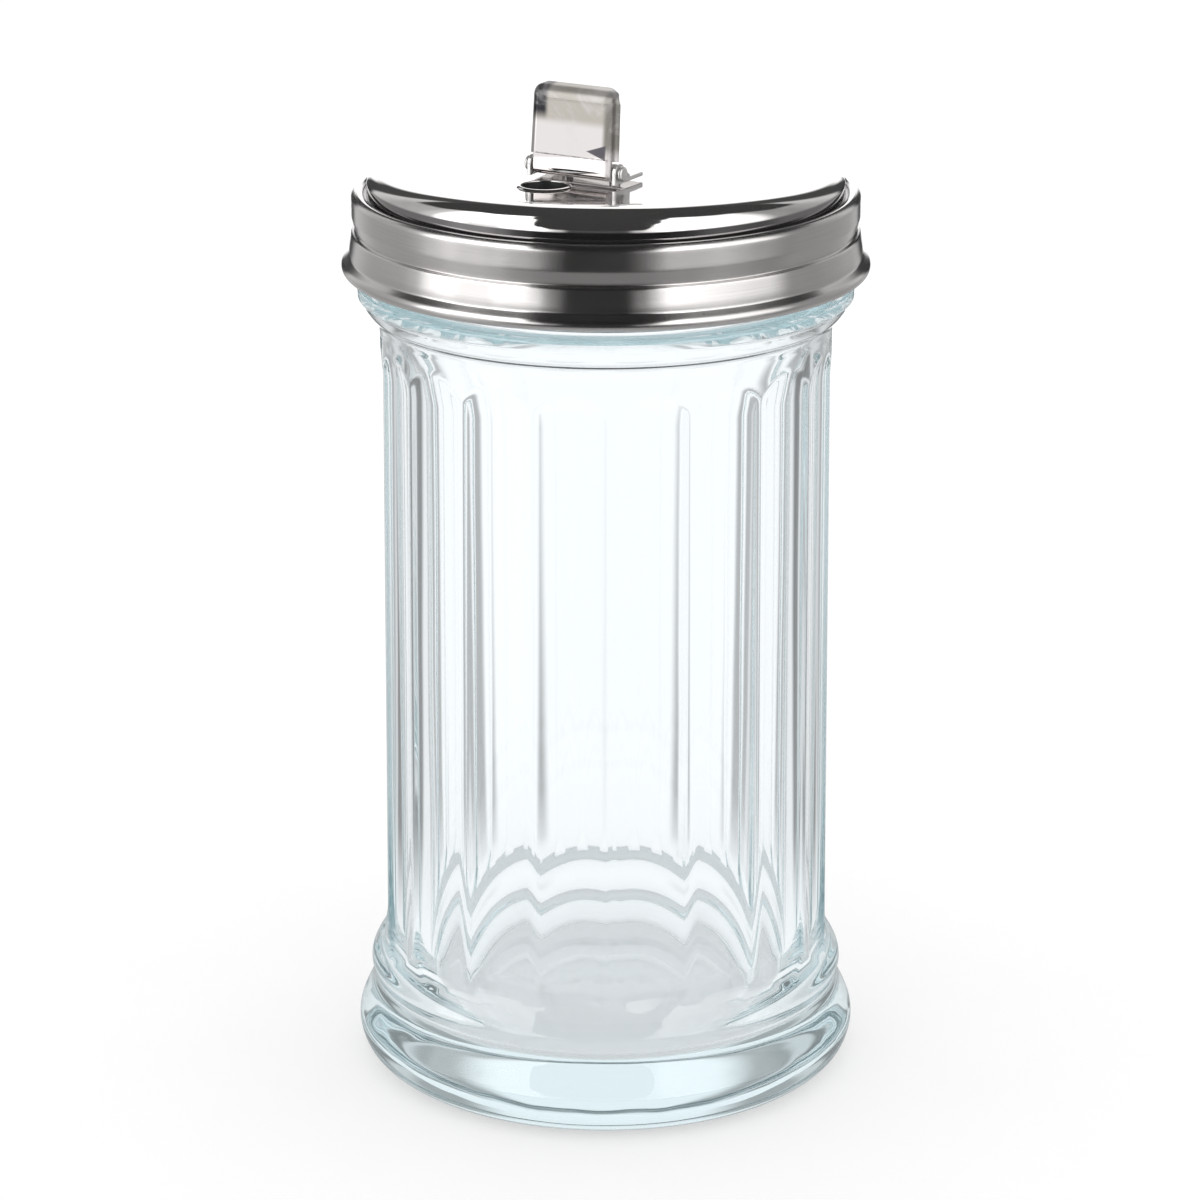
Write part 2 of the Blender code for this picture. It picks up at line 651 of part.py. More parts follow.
def rivet_section():
    """A rivet from its tail under the cap to its head on the bracket, heights from the pin's axis."""
    seat = bracket_bottom() + BRACKET_THICKNESS + CLEARANCE
    under = -HINGE_RISE - SHEET - CLEARANCE
    tail = head_points(under, -RIVET_HEAD_THICKNESS)
    shank = [(RIVET_RADIUS, under), (RIVET_RADIUS, seat)]
    return tail[::-1] + shank + head_points(seat, RIVET_HEAD_THICKNESS)


def build_rivets(steel):
    """The two rivets that hold the bracket on the cap."""
    for name, side in (("bracket_rivet_left", -1), ("bracket_rivet_right", 1)):
        mesh = loft_around(name, lambda angle: rivet_section(), ROUND_STEPS, closed=False)
        rivet = add_object(name, mesh, steel)
        spot = rivet_spot(side)
        rivet.location = (spot.x, spot.y, hinge_frame().translation.z)


def main():
    """Build the whole dispenser."""
    clear_scene()
    glass = make_material("clear_glass", (0.86, 0.95, 0.95), 0.02, 0.0, transmission=1.0)
    brushed = make_material("stainless_steel", (0.72, 0.70, 0.68), 0.25, 1.0)
    bright = make_material("polished_steel", (0.80, 0.79, 0.78), 0.08, 1.0)
    plastic = make_material("white_plastic", (0.85, 0.85, 0.83), 0.45, 0.0)
    rubber = make_material("clear_seal", (0.80, 0.80, 0.78), 0.60, 0.0)
    build_jar(glass)
    build_cap(brushed)
    build_thread_ring(plastic)
    build_seal(rubber)
    build_bracket(bright)
    build_rivets(bright)
    build_pin(bright)
    build_flap(bright)


main()
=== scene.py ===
"""Sugar dispenser: the finished look of the fluted glass jar, its steel screw cap and the pouring flap.

Metres, +Z up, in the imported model's frame. -Y faces the viewer.
"""
import math

import bmesh
import bpy
from bpy.props import BoolProperty, FloatProperty, FloatVectorProperty, IntProperty, PointerProperty
from mathutils import Matrix, Vector


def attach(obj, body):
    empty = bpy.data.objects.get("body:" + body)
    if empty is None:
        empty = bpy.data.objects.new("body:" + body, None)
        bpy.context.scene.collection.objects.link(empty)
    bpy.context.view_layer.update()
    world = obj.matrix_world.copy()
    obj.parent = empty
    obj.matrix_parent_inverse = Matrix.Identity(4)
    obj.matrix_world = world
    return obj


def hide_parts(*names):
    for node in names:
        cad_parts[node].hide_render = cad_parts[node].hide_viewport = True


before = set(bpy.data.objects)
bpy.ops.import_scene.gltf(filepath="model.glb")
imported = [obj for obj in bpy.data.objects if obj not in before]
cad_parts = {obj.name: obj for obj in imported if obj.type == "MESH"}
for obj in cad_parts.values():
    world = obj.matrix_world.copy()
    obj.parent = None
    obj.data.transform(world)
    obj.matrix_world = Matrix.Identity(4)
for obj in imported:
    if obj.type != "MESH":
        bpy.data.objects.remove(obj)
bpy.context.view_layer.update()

bl_info = {
    "name": "Sugar Dispenser",
    "version": (1, 0, 0),
    "blender": (4, 5, 0),
    "location": "3D View > Sidebar > Dispenser",
    "description": "Builds the jar, the cap and the flap round the packed model",
    "category": "Object",
}

MM = 0.001
FULL_TURN = 2 * math.pi
QUARTER_TURN = math.pi / 2
# Points closer together than this are one point
HAIR = 1e-7

# Colours that aren't settings, as red, green, blue and alpha
# Painted shade for the groove inside the cap's rim
GROOVE_SHADE = (0.30, 0.29, 0.29, 1.0)
PARTS_STEEL = (0.70, 0.69, 0.685, 1.0)
DARK_PLASTIC = ((0.022, 0.023, 0.025, 1.0), (0.035, 0.036, 0.038, 1.0))
DARK_RUBBER = ((0.030, 0.030, 0.032, 1.0), (0.045, 0.045, 0.047, 1.0))
# Painted reflections on the flap's steel: a warm band at its top, its dark ends and a small dark wedge
FLAP_WARM_REFLECTION = (0.40, 0.375, 0.34, 1.0)
FLAP_LEFT_REFLECTION = (0.035, 0.035, 0.04, 1.0)
FLAP_RIGHT_REFLECTION = (0.22, 0.21, 0.19, 1.0)
FLAP_WEDGE_REFLECTION = (0.10, 0.095, 0.105, 1.0)
FLAP_SMEAR = (0.56, 0.54, 0.54, 1.0)
# Greys of the cap's dull inside and of the painted shade on the collar under the pour hole, light and dark
CAP_INSIDE = (0.20, 0.15)
HOLE_COLLAR_SHADE = (0.030, 0.015)
# What glass shows is a little cooler than white
COOL_WHITE = (0.94, 0.97, 0.99, 1.0)

# What the settings that are lengths have in common, and those that are colours
LENGTH = {"unit": "LENGTH", "precision": 5}
COLOUR = {"subtype": "COLOR", "size": 4, "min": 0.0, "max": 1.0}


class JarSizes(bpy.types.PropertyGroup):
    """Sizes and colour of the glass jar."""
    flute_count: IntProperty(name="Flutes", description="Flutes round the body", default=18, min=3)
    flute_depth: FloatProperty(name="Flute Depth", description="Depth of a flute", default=0.95 * MM,
                               **LENGTH)
    flute_turn: FloatProperty(name="Flute Turn", description="Where the first ridge stands",
                              default=math.radians(11.7), subtype="ANGLE")
    flute_bottom: FloatProperty(name="Flute Bottom", description="Lower end of the flutes", default=17.4 * MM,
                                **LENGTH)
    flute_top: FloatProperty(name="Flute Top", description="Upper end of the flutes", default=110.5 * MM,
                             **LENGTH)
    flute_runout: FloatProperty(name="Run-out", description="Length over which a flute fades out",
                                default=5.0 * MM, **LENGTH)
    inside_radius: FloatProperty(name="Inside Radius", description="Radius of the hollow", default=29.4 * MM,
                                 **LENGTH)
    floor_thickness: FloatProperty(name="Floor", description="Thickness of the floor", default=8.5 * MM,
                                   **LENGTH)
    thread_pitch: FloatProperty(name="Thread Pitch", description="Rise of the thread in one turn",
                                default=5.0 * MM, **LENGTH)
    tint: FloatVectorProperty(name="Tint", description="Colour that thick glass takes on",
                              default=(0.42, 0.80, 0.86, 1.0), **COLOUR)
    tint_density: FloatProperty(name="Tint Density", description="How fast the tint builds up, per metre",
                                default=4.0)


class CapSizes(bpy.types.PropertyGroup):
    """Sizes and colour of the screw cap."""
    bead_radius: FloatProperty(name="Bead Radius", description="Outer radius of the rolled edge",
                               default=38.0 * MM, **LENGTH)
    sheet: FloatProperty(name="Sheet", description="Thickness of the steel", default=0.5 * MM, **LENGTH)
    valley_rise: FloatProperty(name="Valley Rise", description="How far the top rises at front and back",
                               default=3.4 * MM, **LENGTH)
    hole_radius: FloatProperty(name="Hole Radius", description="Radius of the pour hole", default=3.4 * MM,
                               **LENGTH)
    steel: FloatVectorProperty(name="Steel", description="Colour of the steel",
                               default=(0.72, 0.70, 0.69, 1.0), **COLOUR)


class FlapSizes(bpy.types.PropertyGroup):
    """Sizes and colour of the flap and its hinge."""
    width: FloatProperty(name="Width", description="Width of the flap", default=14.6 * MM, **LENGTH)
    height: FloatProperty(name="Height", description="Height of the flap above its pin", default=11.8 * MM,
                          **LENGTH)
    lean: FloatProperty(name="Lean", description="How far the open flap leans back",
                        default=math.radians(5.0), subtype="ANGLE")
    steel: FloatVectorProperty(name="Steel", description="Colour of the polished steel",
                               default=(0.60, 0.575, 0.57, 1.0), **COLOUR)


class StageSettings(bpy.types.PropertyGroup):
    """The camera and the floor."""
    camera_distance: FloatProperty(name="Camera Distance", description="From the jar's axis, level",
                                   default=0.600, unit="LENGTH")
    camera_height: FloatProperty(name="Camera Height", description="Above the base", default=0.268,
                                 unit="LENGTH")
    camera_pitch: FloatProperty(name="Camera Pitch", description="How far the camera looks down",
                                default=math.radians(18.26), subtype="ANGLE")
    lens: FloatProperty(name="Lens", description="Focal length in millimetres", default=128.43)
    show_floor: BoolProperty(name="Floor", description="Put the pale floor under the object", default=True)


def jar_sizes():
    return bpy.context.scene.dispenser_jar


def cap_sizes():
    return bpy.context.scene.dispenser_cap


def flap_sizes():
    return bpy.context.scene.dispenser_flap


class Wiring:
    """Puts nodes into a tree and joins them. Plain numbers are set on the sockets."""

    def __init__(self, tree):
        self.tree = tree

    def put(self, value, socket):
        if isinstance(value, bpy.types.NodeSocket):
            self.tree.links.new(value, socket)
        else:
            socket.default_value = value

    def node(self, kind, inputs=None, **settings):
        made = self.tree.nodes.new(kind)
        for name, value in settings.items():
            setattr(made, name, value)
        for name, value in (inputs or {}).items():
            self.put(value, made.inputs[name])
        return made

    def split(self, vector):
        """The X, Y and Z of a vector."""
        return self.node("ShaderNodeSeparateXYZ", {"Vector": vector}).outputs

    def noise(self, place, scale, detail, more=None):
        """A noise texture's value."""
        inputs = {"Vector": place, "Scale": scale, "Detail": detail, **(more or {})}
        return self.node("ShaderNodeTexNoise", inputs).outputs["Fac"]

    def math(self, operation, *values, clamp=False):
        made = self.node("ShaderNodeMath", operation=operation, use_clamp=clamp)
        for value, socket in zip(values, made.inputs):
            self.put(value, socket)
        return made.outputs[0]

    def times(self, *values):
        return self.math("MULTIPLY", *values)

    def plus(self, *values):
        return self.math("ADD", *values)

    def minus(self, *values):
        return self.math("SUBTRACT", *values)

    def size(self, value):
        return self.math("ABSOLUTE", value)

    def reach(self, x, y):
        """How far a point lies from the Z axis."""
        return self.math("SQRT", self.plus(self.math("POWER", x, 2.0), self.math("POWER", y, 2.0)))

    def ramp(self, value, low, high, start=0.0, end=1.0):
        """Runs smoothly from start to end as value goes from low to high."""
        made = self.node("ShaderNodeMapRange", interpolation_type="SMOOTHSTEP")
        for name, number in (("Value", value), ("From Min", low), ("From Max", high), ("To Min", start),
                             ("To Max", end)):
            self.put(number, made.inputs[name])
        return made.outputs["Result"]

    def blend(self, low, high, share):
        made = self.node("ShaderNodeMix", data_type="FLOAT")
        for value, socket in zip((share, low, high), (made.inputs[0], made.inputs[2], made.inputs[3])):
            self.put(value, socket)
        return made.outputs[0]

    def blend_colour(self, low, high, share):
        made = self.node("ShaderNodeMix", data_type="RGBA")
        for value, socket in zip((share, low, high), (made.inputs[0], made.inputs[6], made.inputs[7])):
            self.put(value, socket)
        return made.outputs[2]

    def grey(self, value):
        made = self.node("ShaderNodeCombineColor")
        for socket in made.inputs:
            self.put(value, socket)
        return made.outputs[0]

    def tinted(self, value, colour, share):
        """A grey that takes on a colour by a share."""
        made = self.node("ShaderNodeMix", data_type="RGBA", blend_type="MULTIPLY")
        plain = self.grey(value)
        for part, socket in zip((share, plain, colour), (made.inputs[0], made.inputs[6], made.inputs[7])):
            self.put(part, socket)
        return made.outputs[2]


def new_group(name, inputs, outputs, kind="ShaderNodeTree"):
    """A node group with named sockets: its tree, its input node and its output node."""
    tree = bpy.data.node_groups.new(name, kind)
    for label, socket, default in inputs:
        made = tree.interface.new_socket(label, in_out="INPUT", socket_type=socket)
        if default is not None:
            made.default_value = default
    for label, socket in outputs:
        tree.interface.new_socket(label, in_out="OUTPUT", socket_type=socket)
    return tree, tree.nodes.new("NodeGroupInput"), tree.nodes.new("NodeGroupOutput")


def use_group(wiring, tree, inputs):
    made = wiring.node(wiring.tree.bl_idname.replace("NodeTree", "NodeGroup"))
    made.node_tree = tree
    for name, value in inputs.items():
        wiring.put(value, made.inputs[name])
    return made


def grain_group():
    """Fine lines that run round the Z axis, as a lathe leaves them."""
    tree, given, result = new_group("round_grain", [
        ("Position", "NodeSocketVector", None),
        ("Lines", "NodeSocketFloat", 5200.0),
        ("Length", "NodeSocketFloat", 2.2),
    ], [("Grain", "NodeSocketFloat"), ("Cloud", "NodeSocketFloat")])
    w = Wiring(tree)
    x, y, z = w.split(given.outputs["Position"])
    across = w.times(w.plus(z, w.reach(x, y)), given.outputs["Lines"])
    around = w.times(w.math("ARCTAN2", y, x), given.outputs["Length"])
    place = w.node("ShaderNodeCombineXYZ", {"X": around, "Y": across, "Z": 0.0})
    w.put(w.noise(place.outputs[0], 1.0, 3.0, {"Roughness": 0.6}), result.inputs["Grain"])
    w.put(w.noise(given.outputs["Position"], 90.0, 2.0), result.inputs["Cloud"])
    return tree


def smear_group():
    """Faint smears and specks on a polished face."""
    tree, given, result = new_group("smears", [
        ("Position", "NodeSocketVector", None),
        ("Size", "NodeSocketFloat", 120.0),
    ], [("Smear", "NodeSocketFloat"), ("Speck", "NodeSocketFloat")])
    w = Wiring(tree)
    place = given.outputs["Position"]
    smear = w.noise(place, given.outputs["Size"], 4.0, {"Roughness": 0.65, "Distortion": 0.8})
    speck = w.noise(place, 2400.0, 1.0)
    w.put(w.ramp(smear, 0.45, 0.75), result.inputs["Smear"])
    w.put(w.ramp(speck, 0.70, 0.80), result.inputs["Speck"])
    return tree


def group_named(name, maker):
    return bpy.data.node_groups.get(name) or maker()


def smears_on(w, place):
    """The smears and the specks on a polished face."""
    return use_group(w, group_named("smears", smear_group), {"Position": place}).outputs


def start_material(name):
    """A new material, its wiring, its Principled shader and the Object coordinates."""
    material = bpy.data.materials.new(name)
    material.use_nodes = True
    w = Wiring(material.node_tree)
    shader = material.node_tree.nodes["Principled BSDF"]
    place = w.node("ShaderNodeTexCoord").outputs["Object"]
    return material, w, shader, place


def set_plain(shader, values):
    """Set constants on a shader's sockets."""
    for name, value in values.items():
        shader.inputs[name].default_value = value


def add_bump(w, shader, height, strength, distance):
    bump = w.node("ShaderNodeBump", {"Height": height, "Strength": strength, "Distance": distance})
    w.put(bump.outputs["Normal"], shader.inputs["Normal"])


def glass_material():
    """Clear pressed glass with a sea-green tint where it is thick, and a slightly wavy surface."""
    material, w, shader, place = start_material("clear_pressed_glass")
    sizes = jar_sizes()
    set_plain(shader, {"Base Color": (1.0, 1.0, 1.0, 1.0), "Metallic": 0.0, "Roughness": 0.0, "IOR": 1.5,
                       "Transmission Weight": 1.0})
    stretch = w.node("ShaderNodeMapping", {"Vector": place, "Scale": (1.0, 1.0, 0.22)})
    add_bump(w, shader, w.noise(stretch.outputs[0], 85.0, 1.5), 1.0, 0.12 * MM)
    depth = w.node("ShaderNodeVolumeAbsorption", {"Color": tuple(sizes.tint), "Density": sizes.tint_density})
    w.put(depth.outputs["Volume"], material.node_tree.nodes["Material Output"].inputs["Volume"])
    return material


def brushed_material():
    """Steel with turned grain lines, as on the cap's bands."""
    material, w, shader, place = start_material("brushed_bands")
    grain = use_group(w, group_named("round_grain", grain_group), {"Position": place})
    light = tuple(cap_sizes().steel)
    dark = (*[0.82 * c for c in light[:3]], 1.0)
    w.put(w.blend_colour(dark, light, grain.outputs["Grain"]), shader.inputs["Base Color"])
    w.put(w.ramp(grain.outputs["Cloud"], 0.3, 0.7, 0.20, 0.25), shader.inputs["Roughness"])
    set_plain(shader, {"Metallic": 1.0, "Anisotropic": 0.95, "Anisotropic Rotation": 0.25})
    add_bump(w, shader, grain.outputs["Grain"], 0.25, 0.01 * MM)
    return material


# The groove inside the cap's rim: where its painted shade starts and is full, from the wall, the rim and
# above
SHADE_AT_WALL = (33.9 * MM, 34.1 * MM)
SHADE_AT_RIM = (34.95 * MM, 34.75 * MM)
SHADE_TOP = (133.75 * MM, 133.40 * MM)


def groove_shade_mask(w, place):
    """Where painted shade darkens the narrow groove inside the cap's rim."""
    x, y, z = w.split(place)
    reach = w.reach(x, y)
    inside = w.times(w.ramp(reach, *SHADE_AT_WALL), w.ramp(reach, *SHADE_AT_RIM))
    return w.times(inside, w.ramp(z, *SHADE_TOP))


def polished_material(name, colour, groove_shaded=False):
    """Mirror-polished steel with faint smears, and painted shade darkening the groove inside the cap's rim
    where asked.
    """
    material, w, shader, place = start_material(name)
    smear, speck = smears_on(w, place)
    dull = (*[0.93 * c for c in colour[:3]], 1.0)
    tone = w.blend_colour(tuple(colour), dull, smear)
    set_plain(shader, {"Metallic": 0.95})
    if groove_shaded:
        # Painted shade: the groove inside the cap's rim is darkened
        tone = w.blend_colour(tone, GROOVE_SHADE, groove_shade_mask(w, place))
    w.put(tone, shader.inputs["Base Color"])
    w.put(w.ramp(smear, 0.0, 1.0, 0.05, 0.10), shader.inputs["Roughness"])
    add_bump(w, shader, speck, 0.15, 0.01 * MM)
    return material


def inside_material(name, greys):
    """Dull grey sheet of the cap's inside, between a light and a dark grey."""
    material, w, shader, place = start_material(name)
    smear = smears_on(w, place)["Smear"]
    light, dark = [(grey, grey, grey, 1.0) for grey in greys]
    w.put(w.blend_colour(light, dark, smear), shader.inputs["Base Color"])
    w.put(w.ramp(smear, 0.0, 1.0, 0.40, 0.50), shader.inputs["Roughness"])
    set_plain(shader, {"Metallic": 0.3})
    return material


def moulded_material(name, colours, grain_scale, detail, rough):
    """Dark moulded plastic or rubber with a cloudy tone, for what is hidden in the cap."""
    material, w, shader, place = start_material(name)
    cloud = w.noise(place, grain_scale, detail)
    w.put(w.blend_colour(*colours, cloud), shader.inputs["Base Color"])
    w.put(w.ramp(cloud, 0.3, 0.7, *rough), shader.inputs["Roughness"])
    return material, w, shader, cloud


def plastic_material():
    """Dark moulded plastic of the threaded ring."""
    material, w, shader, cloud = moulded_material("dark_moulding", DARK_PLASTIC, 160.0, 3.0, (0.38, 0.50))
    add_bump(w, shader, cloud, 0.2, 0.02 * MM)
    return material


def seal_material():
    """Soft dark rubber of the seal."""
    return moulded_material("dark_seal", DARK_RUBBER, 300.0, 2.0, (0.55, 0.70))[0]


def add_piece(name, mesh, *materials):
    """Put a finished mesh into the scene as a piece, with its place in the mesh."""
    piece = bpy.data.objects.new(name, mesh)
    bpy.context.scene.collection.objects.link(piece)
    for material in materials:
        mesh.materials.append(material)
    return piece


def close_up(bm, name, smooth_to=35.0):
    """Merge doubles, turn all faces outwards and hand over a smooth mesh."""
    bmesh.ops.remove_doubles(bm, verts=bm.verts[:], dist=HAIR)
    bmesh.ops.recalc_face_normals(bm, faces=bm.faces[:])
    if bm.calc_volume(signed=True) < 0:
        bmesh.ops.reverse_faces(bm, faces=bm.faces[:])
    mesh = bpy.data.meshes.new(name)
    bm.to_mesh(mesh)
    bm.free()
    mesh.shade_smooth()
    mesh.set_sharp_from_angle(angle=math.radians(smooth_to))
    return mesh


def revolve(bm, section_at, steps, closed=False, place=Matrix.Identity(4)):
    """A section, which may change with its angle, turned round the Z axis and then put in its place."""
    rows = []
    for step in range(steps):
        angle = FULL_TURN * step / steps
        across, up = math.cos(angle), math.sin(angle)
        rows.append([bm.verts.new(place @ Vector((r * across, r * up, z))) for r, z in section_at(angle)])
    count = len(rows[0])
    for step, row in enumerate(rows):
        after = rows[(step + 1) % steps]
        for i in range(count if closed else count - 1):
            j = (i + 1) % count
            bm.faces.new((row[i], after[i], after[j], row[j]))


def turned_piece(name, outline, steps, *materials, closed=False, place=Matrix.Identity(4), smooth_to=35.0):
    """A piece with one outline all round."""
    bm = bmesh.new()
    revolve(bm, lambda angle: outline, steps, closed, place)
    return add_piece(name, close_up(bm, name, smooth_to), *materials)


def sheet_solid(bm, front, rear):
    """A closed sheet between two grids of points."""
    grids = [[[bm.verts.new(point) for point in row] for row in grid] for grid in (front, rear)]
    for grid in grids:
        for row, after in zip(grid, grid[1:]):
            bridge(bm, row, after)
    near, far = grids
    for end in (0, -1):
        bridge(bm, near[end], far[end])
        bridge(bm, [row[end] for row in near], [row[end] for row in far])


def bridge(bm, row, after):
    for i in range(len(row) - 1):
        bm.faces.new((row[i], row[i + 1], after[i + 1], after[i]))


def settle(piece):
    """Replace a piece's mesh by what its modifiers make of it, and take the modifiers off."""
    bpy.context.view_layer.update()
    seen = piece.evaluated_get(bpy.context.evaluated_depsgraph_get())
    mesh = bpy.data.meshes.new_from_object(seen)
    mesh.name = piece.name
    piece.modifiers.clear()
    old = piece.data
    piece.data = mesh
    bpy.data.meshes.remove(old)
    return piece


def soften(piece, width, segments=3, angle=40.0):
    """Round a piece's sharp edges."""
    bevel = piece.modifiers.new("soften", "BEVEL")
    bevel.width = width
    bevel.segments = segments
    bevel.limit_method = "ANGLE"
    bevel.angle_limit = math.radians(angle)
    bevel.harden_normals = False
    return piece


def arc(middle, size, start, end, count):
    """Points on an arc, from one angle in degrees to another."""
    angles = [math.radians(start + (end - start) * i / (count - 1)) for i in range(count)]
    return [(middle[0] + size * math.cos(a), middle[1] + size * math.sin(a)) for a in angles]


def curve_between(start, bend, end, count):
    """Points on a curve that starts towards a bend and ends coming from it, without its first point."""
    points = []
    for i in range(1, count + 1):
        t = i / count
        a, b, c = (1 - t) ** 2, 2 * t * (1 - t), t * t
        points.append((a * start[0] + b * bend[0] + c * end[0], a * start[1] + b * bend[1] + c * end[1]))
    return points


def ease_between(start, end, count):
    """Points on an S-shaped run, without its first point."""
    shares = [i / count for i in range(1, count + 1)]
    return [(start[0] + (end[0] - start[0]) * (1 - math.cos(math.pi * s)) / 2,
             start[1] + (end[1] - start[1]) * s) for s in shares]


def straight(start, end, count):
    """Evenly spaced points on a line, without its first point."""
    return [(start[0] + (end[0] - start[0]) * i / count, start[1] + (end[1] - start[1]) * i / count)
            for i in range(1, count + 1)]


def millimetres(points):
    return [(r * MM, z * MM) for r, z in points]


# Points of the jar's section, as radius and height in millimetres
DOME_RADIUS = 29.8
DOME_HEIGHT = 0.8
FOOT_RADIUS = 32.8
BULGE = (37.25, 5.2)
WAIST = (35.0, 12.3)
LEDGE = (35.3, 14.3)
BODY_FOOT = (33.35, 19.2)
BODY_TOP = (32.7, 110.5)
SHOULDER_EDGE = (33.8, 114.45)
SHELF = (35.2, 118.8)
SHELF_ROUNDING = 0.6
NECK_RADIUS = 33.3
NECK_TOP = 128.5
LIP_ROUNDING = 0.8
FLARE_RADIUS = 2.0
FLOOR_ROUNDING = 5.0


def jar_outline():
    """The jar's outside without its flutes, from the middle of the base up to the body's foot."""
    points = [(DOME_RADIUS * i / 30, DOME_HEIGHT / 2 * (1 + math.cos(math.pi * i / 30))) for i in range(31)]
    points += straight((DOME_RADIUS, 0.0), (FOOT_RADIUS - 0.2, 0.0), 4)
    for i in range(1, 21):
        turn = QUARTER_TURN * i / 20
        points.append((FOOT_RADIUS + (BULGE[0] - FOOT_RADIUS) * math.sin(turn),
                       BULGE[1] * (1 - math.cos(turn))))
    points += ease_between(BULGE, WAIST, 14)
    points += ease_between(WAIST, LEDGE, 6)
    points += ease_between(LEDGE, BODY_FOOT, 14)
    return points


def jar_body():
    """The ridge line of the fluted body, with rows close together where the flutes fade."""
    points = straight(BODY_FOOT, (33.31, 25.0), 14)
    points += straight(points[-1], (32.74, 104.5), 24)
    points += straight(points[-1], BODY_TOP, 14)
    return points


def jar_neck():
    """The shoulder, the shelf under the cap, the neck and the lip."""
    side, top = SHELF
    neck_foot = top + SHELF_ROUNDING
    points = curve_between(BODY_TOP, (32.75, 113.6), SHOULDER_EDGE, 8)
    points += curve_between(SHOULDER_EDGE, (34.6, 115.1), (35.65, 117.0), 8)
    points += arc((side, 117.35), SHELF_ROUNDING, -25, 0, 4)
    points += arc((side, 118.2), SHELF_ROUNDING, 0, 90, 7)
    points += curve_between(SHELF, (NECK_RADIUS, top), (NECK_RADIUS, neck_foot), 6)
    points += straight((NECK_RADIUS, neck_foot), (NECK_RADIUS, NECK_TOP), 34)
    points += arc((NECK_RADIUS - LIP_ROUNDING, NECK_TOP), LIP_ROUNDING, 0, 90, 9)[1:]
    points += arc((jar_sizes().inside_radius / MM + LIP_ROUNDING, NECK_TOP), LIP_ROUNDING, 90, 180, 9)
    return points


def jar_inside():
    """The hollow, from the lip down to the middle of the floor. It flares where the shelf stands out."""
    inside = jar_sizes().inside_radius / MM
    floor = jar_sizes().floor_thickness / MM
    flared = inside + FLARE_RADIUS
    points = straight((inside, NECK_TOP), (inside, 120.4), 5)
    points += ease_between((inside, 120.4), (flared, 118.8), 7)
    points += straight(points[-1], (flared, 117.8), 3)
    points += curve_between(points[-1], (inside + 0.3, 114.9), (inside, 112.4), 10)
    points += straight(points[-1], (inside, floor + FLOOR_ROUNDING), 12)
    points += arc((inside - FLOOR_ROUNDING, floor + FLOOR_ROUNDING), FLOOR_ROUNDING, 0, -90, 14)[1:]
    points += straight((inside - FLOOR_ROUNDING, floor), (0.0, floor), 8)
    return points


# Share of a flute's half width at which its ridge starts to round off, and how much that takes off
CREST_FROM = 0.86
CREST_DULLING = 0.14
# Share of a turn over which the thread rises out of the neck
THREAD_LEAD = 0.04


